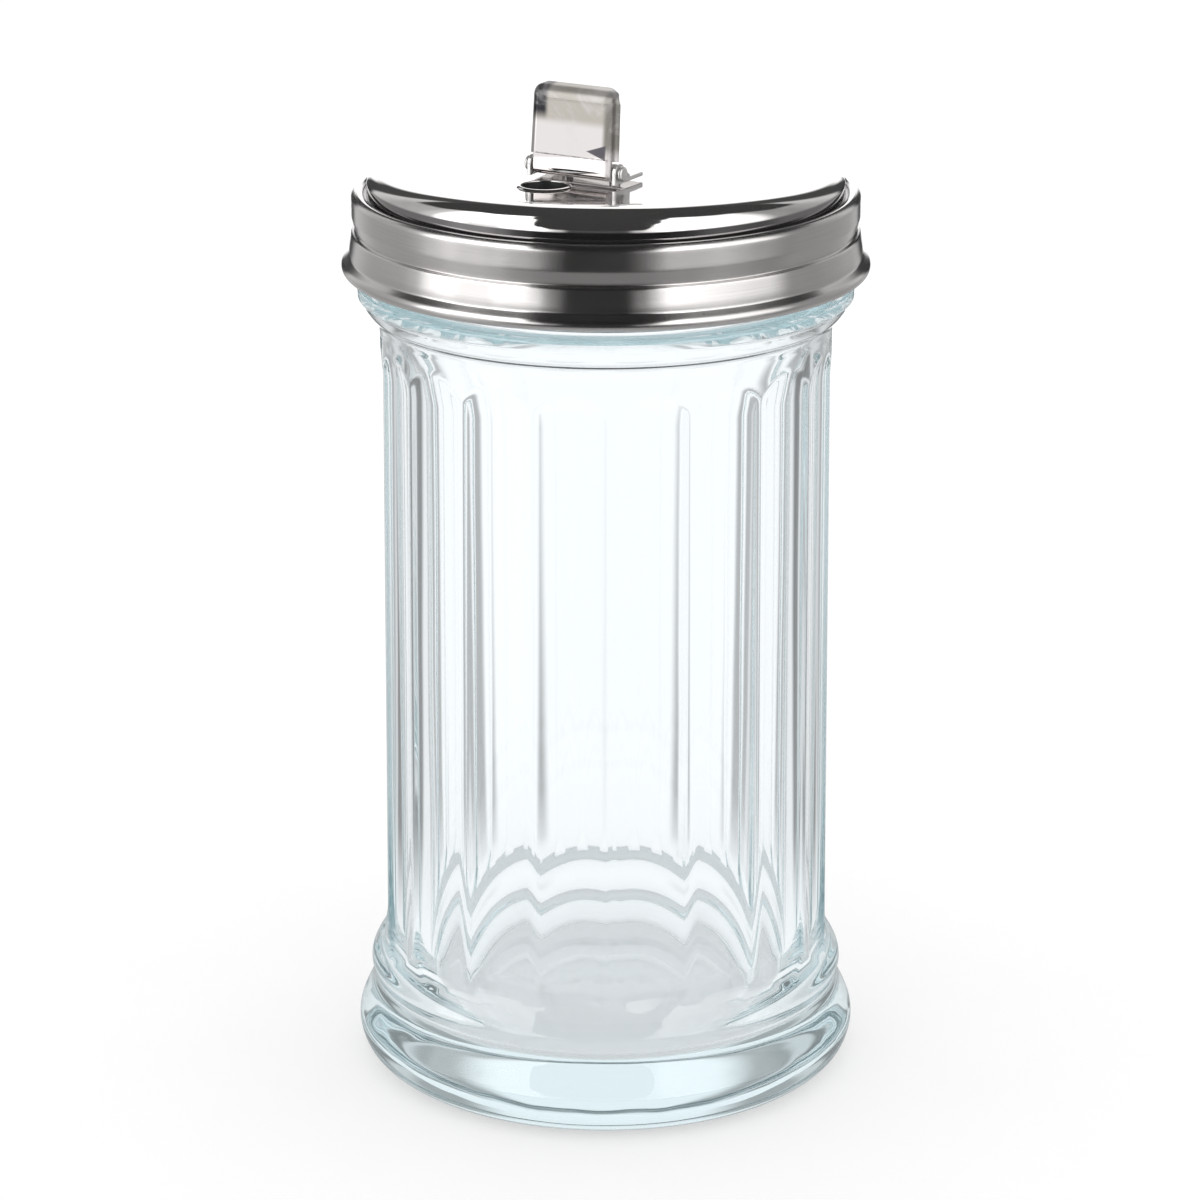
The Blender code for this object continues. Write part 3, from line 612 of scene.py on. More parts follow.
def flute_tree():
    """Presses flutes into the outer wall and raises the thread on the neck."""
    tree, given, result = new_group("flutes_and_thread", [
        ("Jar", "NodeSocketGeometry", None),
        ("Flute Count", "NodeSocketFloat", 18.0),
        ("Flute Depth", "NodeSocketFloat", 0.001),
        ("Flute Turn", "NodeSocketFloat", 0.0),
        ("Flute Bottom", "NodeSocketFloat", 0.017),
        ("Flute Top", "NodeSocketFloat", 0.110),
        ("Run-out", "NodeSocketFloat", 0.005),
        ("Outer Wall From", "NodeSocketFloat", 0.031),
        ("Neck Radius", "NodeSocketFloat", 0.0333),
        ("Thread Start", "NodeSocketFloat", 0.1230),
        ("Thread Pitch", "NodeSocketFloat", 0.005),
        ("Thread Turns", "NodeSocketFloat", 0.9),
        ("Thread Rise", "NodeSocketFloat", 0.00075),
        ("Thread Root", "NodeSocketFloat", 0.0009),
        ("Thread Crest", "NodeSocketFloat", 0.0005),
        ("Material", "NodeSocketMaterial", None),
    ], [("Jar", "NodeSocketGeometry")], "GeometryNodeTree")
    w = Wiring(tree)
    g = given.outputs
    x, y, z = w.split(w.node("GeometryNodeInputPosition").outputs[0])
    reach = w.reach(x, y)
    angle = w.math("ARCTAN2", y, x)
    turned = w.math("DIVIDE", w.minus(angle, g["Flute Turn"]), FULL_TURN)
    share = w.math("FRACT", w.plus(w.times(turned, g["Flute Count"]), g["Flute Count"]))
    across = w.minus(w.times(share, 2.0), 1.0)
    crest = w.ramp(w.size(across), CREST_FROM, 1.0)
    dulled = w.times(w.math("POWER", crest, 2.0), CREST_DULLING)
    scoop = w.plus(w.minus(1.0, w.math("POWER", across, 2.0)), dulled)
    fades = []
    for distance in (w.minus(z, g["Flute Bottom"]), w.minus(g["Flute Top"], z)):
        run = w.math("DIVIDE", distance, g["Run-out"], clamp=True)
        fades.append(w.math("SINE", w.times(run, QUARTER_TURN)))
    depth = w.times(*fades)
    bite = w.math("MAXIMUM", w.minus(scoop, w.minus(1.0, depth)), 0.0)
    outer = w.math("GREATER_THAN", reach, g["Outer Wall From"])
    cut = w.times(w.times(bite, g["Flute Depth"]), outer)
    climb = w.math("FRACT", w.plus(w.math("DIVIDE", angle, FULL_TURN), 1.0))
    middle = w.plus(g["Thread Start"], w.times(climb, g["Thread Pitch"]))
    away = w.size(w.minus(z, middle))
    rib = w.ramp(away, g["Thread Root"], g["Thread Crest"])
    lead_in = w.ramp(climb, 0.0, THREAD_LEAD)
    lead_out = w.ramp(climb, g["Thread Turns"], w.minus(g["Thread Turns"], THREAD_LEAD))
    on_neck = w.math("GREATER_THAN", reach, w.minus(g["Neck Radius"], HAIR * 10))
    raised = w.times(w.times(rib, on_neck), w.times(lead_in, lead_out))
    push = w.minus(w.times(raised, g["Thread Rise"]), cut)
    share = w.math("DIVIDE", push, w.math("MAXIMUM", reach, HAIR))
    offset = w.node("ShaderNodeCombineXYZ", {"X": w.times(x, share), "Y": w.times(y, share), "Z": 0.0})
    moved = w.node("GeometryNodeSetPosition", {"Geometry": g["Jar"], "Offset": offset.outputs[0]})
    real = w.node("GeometryNodeRealizeInstances", {"Geometry": moved.outputs[0]})
    dressed = w.node("GeometryNodeSetMaterial", {"Geometry": real.outputs[0], "Material": g["Material"]})
    w.put(dressed.outputs[0], result.inputs[0])
    return tree


def grow(piece, tree, values):
    """Give a piece a Geometry Nodes modifier, with its inputs set by their identifiers."""
    modifier = piece.modifiers.new(tree.name, "NODES")
    modifier.node_group = tree
    for item in tree.interface.items_tree:
        if item.item_type == "SOCKET" and item.in_out == "INPUT" and item.name in values:
            modifier[item.identifier] = values[item.name]
    return piece


STEPS_PER_FLUTE = 22


class DISPENSER_OT_jar(bpy.types.Operator):
    """Build the fluted glass jar"""
    bl_idname = "dispenser.make_jar"
    bl_label = "Glass Jar"

    def execute(self, context):
        sizes = jar_sizes()
        glass = glass_material()
        outline = millimetres(jar_outline() + jar_body() + jar_neck() + jar_inside())
        steps = sizes.flute_count * STEPS_PER_FLUTE
        jar = turned_piece("fluted_jar", outline, steps, glass, smooth_to=60.0)
        grow(jar, flute_tree(), {
            "Flute Count": float(sizes.flute_count), "Flute Depth": sizes.flute_depth,
            "Flute Turn": sizes.flute_turn, "Flute Bottom": sizes.flute_bottom, "Flute Top": sizes.flute_top,
            "Run-out": sizes.flute_runout, "Thread Pitch": sizes.thread_pitch, "Material": glass,
        })
        settle(jar)
        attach(jar, "jar")
        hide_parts("glass_jar")
        return {"FINISHED"}


# The steep wall round the cap's top
WALL_RADIUS = 34.2 * MM
WALL_TOP = 133.25 * MM
GROOVE_HEIGHT = 131.45 * MM
# The valley across the top: its lowest line, its turn and the raised edge at its front
VALLEY_HEIGHT = 133.3 * MM
VALLEY_TURN = math.radians(-4.0)
EDGE_FROM = 22.0 * MM
EDGE_FADE = 14.0 * MM
CREST_HEIGHT = 134.6 * MM
CREST_SLOPE = 0.061
# The shoulder between the wall and the top, widest at two places beside the ends of the valley
SHOULDER_WIDTH = 3.2 * MM
SHOULDER_EXTRA = 1.2 * MM
SHOULDER_WIDEST = 66.0
# The straight band above the step, and the rim that rounds it off
BAND_RADIUS = 36.46
RIM_HEIGHT = 131.3
BEAD_HEIGHT = 121.5
BEAD_ROUNDING = 1.0
BEAD_POINTS = 26


def valley_at(x, y):
    """The height of the cap's top face, a shallow valley that runs from left to right, with a raised edge."""
    across = y * math.cos(VALLEY_TURN) - x * math.sin(VALLEY_TURN)
    reach = math.hypot(x, y)
    middle = VALLEY_HEIGHT + cap_sizes().valley_rise * (across / WALL_RADIUS) ** 2
    if reach < EDGE_FROM:
        return middle
    crest = CREST_HEIGHT + CREST_SLOPE * abs(across) * WALL_RADIUS / reach
    share = min((reach - EDGE_FROM) / (WALL_RADIUS - EDGE_FROM), 1.0)
    share *= min(max(1 - across / EDGE_FADE, 0.0), 1.0)
    return middle + (crest - middle) * share * share * (3 - 2 * share)


def valley_slope(x, y):
    """How the top face rises along X and along Y."""
    across = y * math.cos(VALLEY_TURN) - x * math.sin(VALLEY_TURN)
    rate = 2 * cap_sizes().valley_rise * across / WALL_RADIUS ** 2
    return -rate * math.sin(VALLEY_TURN), rate * math.cos(VALLEY_TURN)


def cap_bands():
    """The cap's outside from its bead up over the rim and into the groove, in metres."""
    bead = cap_sizes().bead_radius / MM
    groove = GROOVE_HEIGHT / MM
    wall = WALL_RADIUS / MM
    points = arc((bead - BEAD_ROUNDING, BEAD_HEIGHT), BEAD_ROUNDING, 180, 412, BEAD_POINTS)
    points += straight(points[-1], (37.02, 122.8), 3)
    points += curve_between(points[-1], (36.92, 122.88), (36.90, 123.1), 4)
    points += curve_between(points[-1], (36.89, 123.7), (36.80, 124.3), 5)
    points += straight(points[-1], (36.54, 126.0), 6)
    points += curve_between(points[-1], (36.50, 126.45), (36.25, 126.45), 4)
    points += curve_between(points[-1], (35.9, 126.5), (36.0, 126.8), 4)
    points += straight(points[-1], (36.40, 128.45), 5)
    points += curve_between(points[-1], (BAND_RADIUS, 128.65), (BAND_RADIUS, 128.9), 3)
    points += straight(points[-1], (BAND_RADIUS, RIM_HEIGHT), 7)
    points += arc((BAND_RADIUS - 1.0, RIM_HEIGHT), 1.0, 0, 145, 20)[1:]
    points += curve_between(points[-1], (34.62, groove), (34.45, groove), 4)
    points += curve_between(points[-1], (wall, groove), (wall, groove + 0.2), 3)
    points += straight(points[-1], (wall, WALL_TOP / MM - 0.1), 4)
    return millimetres(points)


def cap_top(angle):
    """The raised top at an angle, from the top of its wall in to the axis."""
    across, up = math.cos(angle), math.sin(angle)
    away = abs(abs(math.degrees(math.atan2(across, -up))) - SHOULDER_WIDEST)
    wide = SHOULDER_WIDTH + SHOULDER_EXTRA * math.cos(math.radians(min(3 * away, 90.0))) ** 2
    inner = WALL_RADIUS - wide
    drop = valley_at(WALL_RADIUS * across, WALL_RADIUS * up) - WALL_TOP
    points = []
    for i in range(28):
        turn = QUARTER_TURN * i / 27
        reach = inner + wide * math.cos(turn)
        points.append((reach, valley_at(reach * across, reach * up) - drop * (1 - math.sin(turn))))
    for i in range(1, 27):
        reach = inner * (1 - i / 26)
        points.append((reach, valley_at(reach * across, reach * up)))
    return points


def sunk(points, depth):
    """The same line, moved to its right-hand side by a sheet's thickness."""
    moved = []
    for i, (radius, height) in enumerate(points):
        before = Vector(points[max(i - 1, 0)])
        after = Vector(points[min(i + 1, len(points) - 1)])
        along = (after - before).normalized() if radius > 0.0 else Vector((-1.0, 0.0))
        moved.append((radius - depth * along.y, height + depth * along.x))
    return moved


def cap_section(angle):
    """The cap's section: from the axis down the outside and back up the inside."""
    face = cap_bands() + cap_top(angle)
    return face[::-1] + sunk(face[BEAD_POINTS:], cap_sizes().sheet)


PIN_PLACE = (-4.3 * MM, -1.5 * MM, 135.31 * MM)
PIN_TURN = math.radians(-30.0)
# The pour hole's place from the middle of the pin
HOLE_PLACE = (-2.0 * MM, -5.4 * MM, 0)
# How far the collar of the pour hole reaches below the sheet, in millimetres
COLLAR_LENGTH = 1.9


def hinge_frame():
    """Where the flap's pin lies: X runs along the pin and Y points away from the viewer."""
    return Matrix.Translation(PIN_PLACE) @ Matrix.Rotation(PIN_TURN, 4, "Z")


def hole_frame():
    """The middle of the pour hole, on the top face and square to it."""
    spot = hinge_frame() @ Vector(HOLE_PLACE)
    slope_x, slope_y = valley_slope(spot.x, spot.y)
    up = Vector((-slope_x, -slope_y, 1.0)).normalized()
    middle = Matrix.Translation((spot.x, spot.y, valley_at(spot.x, spot.y)))
    return middle @ up.to_track_quat("Z", "Y").to_matrix().to_4x4()


def lip_outline():
    """The raised lip round the pour hole, with a short collar drawn down below the sheet.

    In millimetres until the end: radius, and height above the cap's top face.
    """
    inner = cap_sizes().hole_radius / MM - 0.05
    sheet = cap_sizes().sheet / MM
    collar = -sheet - COLLAR_LENGTH
    points = arc((inner + 0.12, 0.20), 0.12, 180, 90, 5)
    points += curve_between((inner + 0.30, 0.32), (inner + 0.50, 0.16), (inner + 0.65, -0.05), 5)
    points += [(inner + 0.50, -sheet - 0.06), (inner + 0.36, -sheet - 0.20), (inner + 0.36, collar + 0.18)]
    points += arc((inner + 0.18, collar + 0.18), 0.18, 360, 180, 9)[1:]
    return millimetres(points)


def cut_hole(cap):
    """Cut the pour hole through the cap and keep the polished shading round it."""
    uncut = add_piece("uncut_cap", cap.data.copy())
    bm = bmesh.new()
    reach = 3 * MM
    bmesh.ops.create_cone(bm, cap_ends=True, segments=96, radius1=cap_sizes().hole_radius,
                          radius2=cap_sizes().hole_radius, depth=2 * reach, matrix=hole_frame())
    cutter = add_piece("hole_cutter", close_up(bm, "hole_cutter"))
    boolean = cap.modifiers.new("pour_hole", "BOOLEAN")
    boolean.operation = "DIFFERENCE"
    boolean.solver = "EXACT"
    boolean.object = cutter
    copy = cap.modifiers.new("keep_shading", "DATA_TRANSFER")
    copy.object = uncut
    copy.use_loop_data = True
    copy.data_types_loops = {"CUSTOM_NORMAL"}
    copy.loop_mapping = "POLYINTERP_NEAREST"
    settle(cap)
    for helper in (uncut, cutter):
        bpy.data.objects.remove(helper, do_unlink=True)


def join_into(piece, *others):
    """Join other pieces into one and keep its name."""
    with bpy.context.temp_override(active_object=piece, selected_editable_objects=[piece, *others]):
        bpy.ops.object.join()
    return piece


BRUSHED, POLISHED, DULL = range(3)


def cap_finish(face):
    """Which finish a face of the cap has: brushed bands, a polished top or the dull inside."""
    reach = math.hypot(face.center.x, face.center.y)
    outward = (face.normal.x * face.center.x + face.normal.y * face.center.y) / reach
    if face.normal.z < -0.3 and face.center.z > 124.0 * MM and reach < 35.6 * MM:
        return DULL
    if outward < 0.0 and face.center.z < 131.2 * MM:
        return DULL
    if reach < 35.9 * MM and face.center.z > 131.2 * MM:
        return POLISHED
    return BRUSHED


class DISPENSER_OT_cap(bpy.types.Operator):
    """Build the steel screw cap with its pour hole"""
    bl_idname = "dispenser.make_cap"
    bl_label = "Screw Cap"

    def execute(self, context):
        brushed = brushed_material()
        polished = polished_material("polished_top", cap_sizes().steel, groove_shaded=True)
        bm = bmesh.new()
        revolve(bm, cap_section, 288)
        inside = inside_material("cap_inside", CAP_INSIDE)
        cap = add_piece("screw_cap", close_up(bm, "screw_cap", 50.0), brushed, polished, inside)
        for face in cap.data.polygons:
            face.material_index = cap_finish(face)
        cut_hole(cap)
        # The collar under the pour hole is painted near black: painted shade inside the hole
        collar = inside_material("hole_collar_shade", HOLE_COLLAR_SHADE)
        place = hole_frame()
        lip = turned_piece("pour_lip", lip_outline(), 96, polished, collar, closed=True, place=place,
                           smooth_to=60.0)
        upright = place.inverted()
        for face in lip.data.polygons:
            if (upright @ face.center).z < -0.05 * MM:
                face.material_index = 1
        join_into(cap, lip)
        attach(cap, "cap")
        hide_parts("cap_shell")
        return {"FINISHED"}


class DISPENSER_OT_liner(bpy.types.Operator):
    """Finish the threaded ring and the seal inside the cap"""
    bl_idname = "dispenser.finish_liner"
    bl_label = "Ring and Seal"

    def execute(self, context):
        for node, material in (("thread_ring", plastic_material()), ("seal_ring", seal_material())):
            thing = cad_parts[node]
            for slot in thing.material_slots:
                slot.material = material
        return {"FINISHED"}


# The hinge: the front of the flap's plate from the pin's axis, and the pin with its heads
PLATE_FRONT = -1.3 * MM
PIN_HALF = 7.6 * MM
PIN_RADIUS = 0.5 * MM
PIN_HEAD_RADIUS = 1.1 * MM
PIN_HEAD_HEIGHT = 0.4 * MM
PIN_HEAD_ROUNDING = 0.35 * MM
# The bracket's base plate, its two ears and the hair of room between the parts
BASE_FRONT = 1.8 * MM
BASE_BACK = 6.6 * MM
BASE_SHEET = 0.6 * MM
EAR_RADIUS = 1.4 * MM
EAR_BACK = 2.9 * MM
ROOM = 0.02 * MM
# The rivets: the two places from the middle of the pin, and their radii
RIVET_SIDE = 3.9 * MM
RIVET_BACK = 4.4 * MM
RIVET_RADIUS = 1.5 * MM
SHANK_RADIUS = 0.8 * MM
# The top of a rivet's tail from the pin's axis, the tail's thickness and the rounding of its edge
TAIL_TOP = -3.0 * MM + 0.48 * MM
TAIL_SHEET = 0.6 * MM
TAIL_ROUNDING = 0.4 * MM


def lying():
    """Turns an upright shape to lie along the pin."""
    return hinge_frame() @ Matrix.Rotation(QUARTER_TURN, 4, "Y")


def box_solid(bm, low, high, place):
    size = [b - a for a, b in zip(low, high)]
    middle = Matrix.Translation([(a + b) / 2 for a, b in zip(low, high)])
    bmesh.ops.create_cube(bm, size=1.0, matrix=place @ middle @ Matrix.Diagonal((*size, 1.0)))


def plate_solid(bm, outline, low, high, place):
    """An outline in (back, height) given a thickness along the pin."""
    ends = [[bm.verts.new(place @ Vector((side, back, up))) for back, up in outline] for side in (low, high)]
    for ring in ends:
        bm.faces.new(ring)
    near, far = ends
    for i in range(len(outline)):
        j = (i + 1) % len(outline)
        bm.faces.new((near[i], near[j], far[j], far[i]))


def bracket_bottom():
    """The bracket's underside, just clear of the cap, measured from the pin's axis."""
    place = hinge_frame()
    half = flap_sizes().width / 2
    heights = []
    for side in (-half, half):
        for back in (BASE_FRONT, BASE_BACK):
            spot = place @ Vector((side, back, 0))
            heights.append(valley_at(spot.x, spot.y))
    return max(heights) + 0.3 * MM - place.translation.z


def rivet_outline(bottom):
    """A rivet's tail, shank and domed head, heights from the pin's axis."""
    seat = bottom + BASE_SHEET + ROOM
    middle = (RIVET_RADIUS - TAIL_ROUNDING, TAIL_TOP - TAIL_SHEET + TAIL_ROUNDING)
    tail = [(0.0, TAIL_TOP - TAIL_SHEET)] + arc(middle, TAIL_ROUNDING, 270, 360, 6)
    tail += [(RIVET_RADIUS, TAIL_TOP), (SHANK_RADIUS, TAIL_TOP)]
    head = [(SHANK_RADIUS, seat), (RIVET_RADIUS, seat), (RIVET_RADIUS, seat + 0.1 * MM)]
    for i in range(1, 13):
        turn = QUARTER_TURN * i / 12
        head.append((RIVET_RADIUS * math.cos(turn), seat + (0.1 + 0.5 * math.sin(turn)) * MM))
    return tail + head


def pair_tree():
    """Puts a copy of a small part at each of two places."""
    tree, given, result = new_group("pair_of_rivets", [
        ("Rivet", "NodeSocketGeometry", None),
        ("First Place", "NodeSocketVector", None),
        ("Spacing", "NodeSocketVector", None),
        ("Material", "NodeSocketMaterial", None),
    ], [("Rivets", "NodeSocketGeometry")], "GeometryNodeTree")
    w = Wiring(tree)
    g = given.outputs
    line = w.node("GeometryNodeMeshLine",
                  {"Count": 2, "Start Location": g["First Place"], "Offset": g["Spacing"]})
    placed = w.node("GeometryNodeInstanceOnPoints", {"Points": line.outputs[0], "Instance": g["Rivet"]})
    real = w.node("GeometryNodeRealizeInstances", {"Geometry": placed.outputs[0]})
    dressed = w.node("GeometryNodeSetMaterial", {"Geometry": real.outputs[0], "Material": g["Material"]})
    w.put(dressed.outputs[0], result.inputs[0])
    return tree


def bright_steel():
    """The satin steel of the bracket, the rivets and the pin, made once."""
    made = bpy.data.materials.get("satin_steel_parts")
    if made is None:
        made = polished_material("satin_steel_parts", PARTS_STEEL)
        set_plain(made.node_tree.nodes["Principled BSDF"], {"Metallic": 0.62})
    return made


# Where a painted reflection on the flap starts and where it is full, up from its pin or along it
WARM_REFLECTION_UP = (6.0 * MM, 7.4 * MM)
LEFT_END_SIDE = (-4.0 * MM, -4.9 * MM)
LEFT_END_UP = (6.4 * MM, 8.2 * MM)
RIGHT_END_SIDE = (4.6 * MM, 5.4 * MM)
RIGHT_END_UP = (2.0 * MM, 4.0 * MM)
CURL_SIDE = (5.2 * MM, 5.8 * MM)
CURL_UP = (9.3 * MM, 10.2 * MM)
# The dark wedge, a painted reflection: its tip, the height of its middle line, how fast it spreads, its soft
# edge and its end
WEDGE_TIP = 2.1 * MM
WEDGE_HEIGHT = 2.9 * MM
WEDGE_SPREAD = 0.34
WEDGE_EDGE = (0.0, 0.15 * MM)
WEDGE_END = (5.6 * MM, 5.3 * MM)


def flap_material():
    """The flap's polished steel, with painted reflections: a warm band towards its top, dark ends and a small
    dark wedge.
    """
    material, w, shader, place = start_material("flap_steel_painted_reflections")
    smear, speck = smears_on(w, place)
    pin = hinge_frame()
    local = w.node("ShaderNodeMapping", {"Vector": place, "Location": tuple(pin.translation),
                                         "Rotation": tuple(pin.to_euler())}, vector_type="TEXTURE")
    side, _, height = w.split(local.outputs[0])
    warm_reflection = w.ramp(height, *WARM_REFLECTION_UP)
    tone = w.blend_colour(tuple(flap_sizes().steel), FLAP_WARM_REFLECTION, warm_reflection)
    left_reflection = w.times(w.ramp(side, *LEFT_END_SIDE), w.ramp(height, *LEFT_END_UP))
    tone = w.blend_colour(tone, FLAP_LEFT_REFLECTION, left_reflection)
    right_reflection = w.times(w.ramp(side, *RIGHT_END_SIDE), w.ramp(height, *RIGHT_END_UP))
    tone = w.blend_colour(tone, FLAP_RIGHT_REFLECTION, right_reflection)
    spread = w.times(w.minus(side, WEDGE_TIP), WEDGE_SPREAD)
    inset = w.minus(spread, w.size(w.minus(height, WEDGE_HEIGHT)))
    wedge = w.times(w.ramp(inset, *WEDGE_EDGE), w.ramp(side, *WEDGE_END))
    tone = w.blend_colour(tone, FLAP_WEDGE_REFLECTION, wedge)
    w.put(w.blend_colour(tone, FLAP_SMEAR, smear), shader.inputs["Base Color"])
    curl = w.math("MAXIMUM", w.ramp(height, *CURL_UP), w.ramp(side, *CURL_SIDE))
    rough = w.ramp(smear, 0.0, 1.0, 0.05, 0.10)
    w.put(w.blend(rough, 0.35, curl), shader.inputs["Roughness"])
    w.put(w.blend(1.0, 0.45, curl), shader.inputs["Metallic"])
    add_bump(w, shader, speck, 0.04, 0.01 * MM)
    return material


class DISPENSER_OT_hinge(bpy.types.Operator):
    """Build the hinge bracket, its rivets and the pin"""
    bl_idname = "dispenser.make_hinge"
    bl_label = "Hinge"

    def execute(self, context):
        self.make_bracket()
        self.make_rivets()
        self.make_pin()
        return {"FINISHED"}

    def make_bracket(self):
        place = hinge_frame()
        half = flap_sizes().width / 2
        bottom = bracket_bottom()
        bm = bmesh.new()
        box_solid(bm, (-half, BASE_FRONT, bottom), (half, BASE_BACK, bottom + BASE_SHEET), place)
        base = add_piece("bracket", close_up(bm, "bracket"), bright_steel())
        soften(base, 0.15 * MM)
        outline = [(-EAR_RADIUS, bottom + ROOM)] + arc((0.0, 0.0), EAR_RADIUS, 180, 20, 22)
        outline += [(EAR_BACK, bottom + 0.9 * MM), (EAR_BACK, bottom + ROOM)]
        bm = bmesh.new()
        for low, high in ((-half + ROOM, -half + BASE_SHEET), (half - BASE_SHEET, half - ROOM)):
            plate_solid(bm, outline, low, high, place)
        ears = add_piece("ears", close_up(bm, "ears"), bright_steel())
        soften(ears, 0.1 * MM)
        for piece in (base, ears):
            settle(piece)
        join_into(base, ears)
        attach(base, "cap")
        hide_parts("hinge_bracket")

    def make_rivets(self):
        place = hinge_frame()
        rivets = turned_piece("rivets", rivet_outline(bracket_bottom()), 40, bright_steel())
        first = place @ Vector((-RIVET_SIDE, RIVET_BACK, 0))
        second = place @ Vector((RIVET_SIDE, RIVET_BACK, 0))
        grow(rivets, pair_tree(), {"First Place": first, "Spacing": second - first,
                                   "Material": bright_steel()})
        settle(rivets)
        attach(rivets, "cap")
        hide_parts("bracket_rivet_left", "bracket_rivet_right")

    def make_pin(self):
        end = PIN_HALF + PIN_HEAD_HEIGHT
        rounding = PIN_HEAD_ROUNDING
        head = arc((PIN_HEAD_RADIUS - rounding, end - rounding), rounding, 0, 90, 6)
        side = [(PIN_RADIUS, 0.0), (PIN_RADIUS, PIN_HALF), (PIN_HEAD_RADIUS, PIN_HALF)] + head + [(0.0, end)]
        outline = [(r, -z) for r, z in side[:0:-1]] + side[1:]
        pin = turned_piece("pin", outline, 32, bright_steel(), place=lying())
        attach(pin, "cap")
        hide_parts("hinge_pin")


# The flap's sheet, the radius of its curled top, the lip beyond the curl and the radius of its rolled edges
FLAP_SHEET = 0.5 * MM
FLAP_CURL = 1.9 * MM
FLAP_LIP = 1.2 * MM
FLAP_ROLL = 1.3 * MM
FLAP_ROLL_TURN = math.radians(72.0)
FLAP_CURL_TURN = math.radians(80.0)
KNUCKLE_RADIUS = 1.3 * MM
# How much the lip narrows at its right and at its left end
RIGHT_NARROWING = 0.26
LEFT_NARROWING = 0.04


def flap_edge():
    """Across the flap: flat in the middle, with both edges rolled back. Each is (side, back, slope)."""
    flat = flap_sizes().width / 2 - FLAP_ROLL
    rolls = [FLAP_ROLL_TURN * i / 12 for i in range(13)]
    right = [(flat + FLAP_ROLL * math.sin(a), FLAP_ROLL * (1 - math.cos(a)), a) for a in rolls]
    left = [(-side, back, -slope) for side, back, slope in reversed(right)]
    middle = [(flat * (2 * i / 12 - 1), 0.0, 0.0) for i in range(1, 12)]
    return left + middle + right


def flap_rise():
    """Up the flap: straight, then curled back to a lip. Each is (back, height, tilt, share of the way up)."""
    foot = 1.7 * MM
    along, up = math.sin(FLAP_CURL_TURN), math.cos(FLAP_CURL_TURN)
    top = flap_sizes().height - FLAP_CURL * along - FLAP_LIP * up
    points = [(PLATE_FRONT, foot + (top - foot) * i / 20, 0.0, i / 20) for i in range(20)]
    for i in range(19):
        tilt = FLAP_CURL_TURN * i / 18
        points.append((PLATE_FRONT + FLAP_CURL * (1 - math.cos(tilt)), top + FLAP_CURL * math.sin(tilt), tilt,
                       1.0 + 0.5 * i / 18))
    back, height = points[-1][:2]
    for i in range(1, 7):
        out = FLAP_LIP * i / 6
        points.append((back + out * along, height + out * up, FLAP_CURL_TURN, 1.5 + 0.5 * i / 6))
    return points


def flap_grid(depth):
    """The flap's plate at a depth behind its front face. Its edges roll wider near the top."""
    rows = []
    for back, height, tilt, share in flap_rise():
        tuck = 1 - 0.5 * math.sin(tilt)
        beyond = max(share - 1, 0.0)
        row = []
        for side, roll, slope in flap_edge():
            behind = roll * tuck + depth * math.cos(slope)
            narrowing = RIGHT_NARROWING if side > 0 else LEFT_NARROWING
            inward = 1 - 0.02 * share - narrowing * beyond ** 1.5
            row.append(Vector(((side - depth * math.sin(slope)) * inward, back + behind * math.cos(tilt),
                               height - behind * math.sin(tilt))))
        rows.append(row)
    return rows


def knuckle_grid(depth):
    """The flap's lower edge, which runs down from the plate and rolls round the pin."""
    half = flap_sizes().width / 2 - 0.9 * MM
    radius = KNUCKLE_RADIUS - depth
    line = [(-radius, 2.0 * MM - 0.25 * MM * i) for i in range(8)]
    line += arc((0.0, 0.0), radius, 180, 500, 40)
    sides = [half * (2 * i / 10 - 1) for i in range(11)]
    return [[Vector((side, back, up)) for side in sides] for back, up in line]


class DISPENSER_OT_flap(bpy.types.Operator):
    """Build the flap, standing open"""
    bl_idname = "dispenser.make_flap"
    bl_label = "Flap"

    def execute(self, context):
        lean = Matrix.Rotation(-flap_sizes().lean, 4, "X")
        steel = flap_material()
        place = hinge_frame() @ lean
        parts = []
        for name, grid in (("flap_plate", flap_grid), ("flap_knuckle", knuckle_grid)):
            bm = bmesh.new()
            sides = [[[place @ point for point in row] for row in grid(depth)] for depth in (0.0, FLAP_SHEET)]
            sheet_solid(bm, *sides)
            part = add_piece(name, close_up(bm, name), steel)
            parts.append(settle(soften(part, 0.09 * MM, 2, 50.0)))
        flap = join_into(*parts)
        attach(flap, "flap")
        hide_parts("flap")
        return {"FINISHED"}


# How bright the studio is round the object, as pairs of direction and brightness. Directions are in
# degrees from the viewer's side, to the right where positive. Metal sees the low ring below the horizon
# and the high ring above it.
LOW_RING = ((-180, 0.10), (-160, 0.10), (-152, 0.60), (-124, 0.42), (-103, 0.40), (-83, 0.48), (-72, 0.66),
            (-58, 0.66), (-50, 0.46), (-40, 0.14), (-30, 0.02), (-21, 0.005), (15, 0.005), (25, 0.01),
            (34, 0.05), (54, 0.26), (76, 0.18), (95, 0.34), (118, 0.36), (135, 0.40), (152, 0.55),
            (160, 0.10), (180, 0.10))
HIGH_RING = ((-180, 1.60), (-174, 1.50), (-168, 0.04), (-150, 0.04), (-144, 0.75), (-122, 0.50),
             (-102, 0.55), (-92, 0.80), (-84, 2.40), (-76, 2.80), (-30, 2.60), (-26, 1.30), (-22, 0.80),
             (-17, 0.06), (9, 0.06), (15, 0.75), (21, 1.40), (28, 2.60), (76, 1.70), (90, 0.40), (104, 0.35),
             (118, 0.45), (142, 0.75), (150, 0.04), (168, 0.04), (174, 1.50), (180, 1.60))
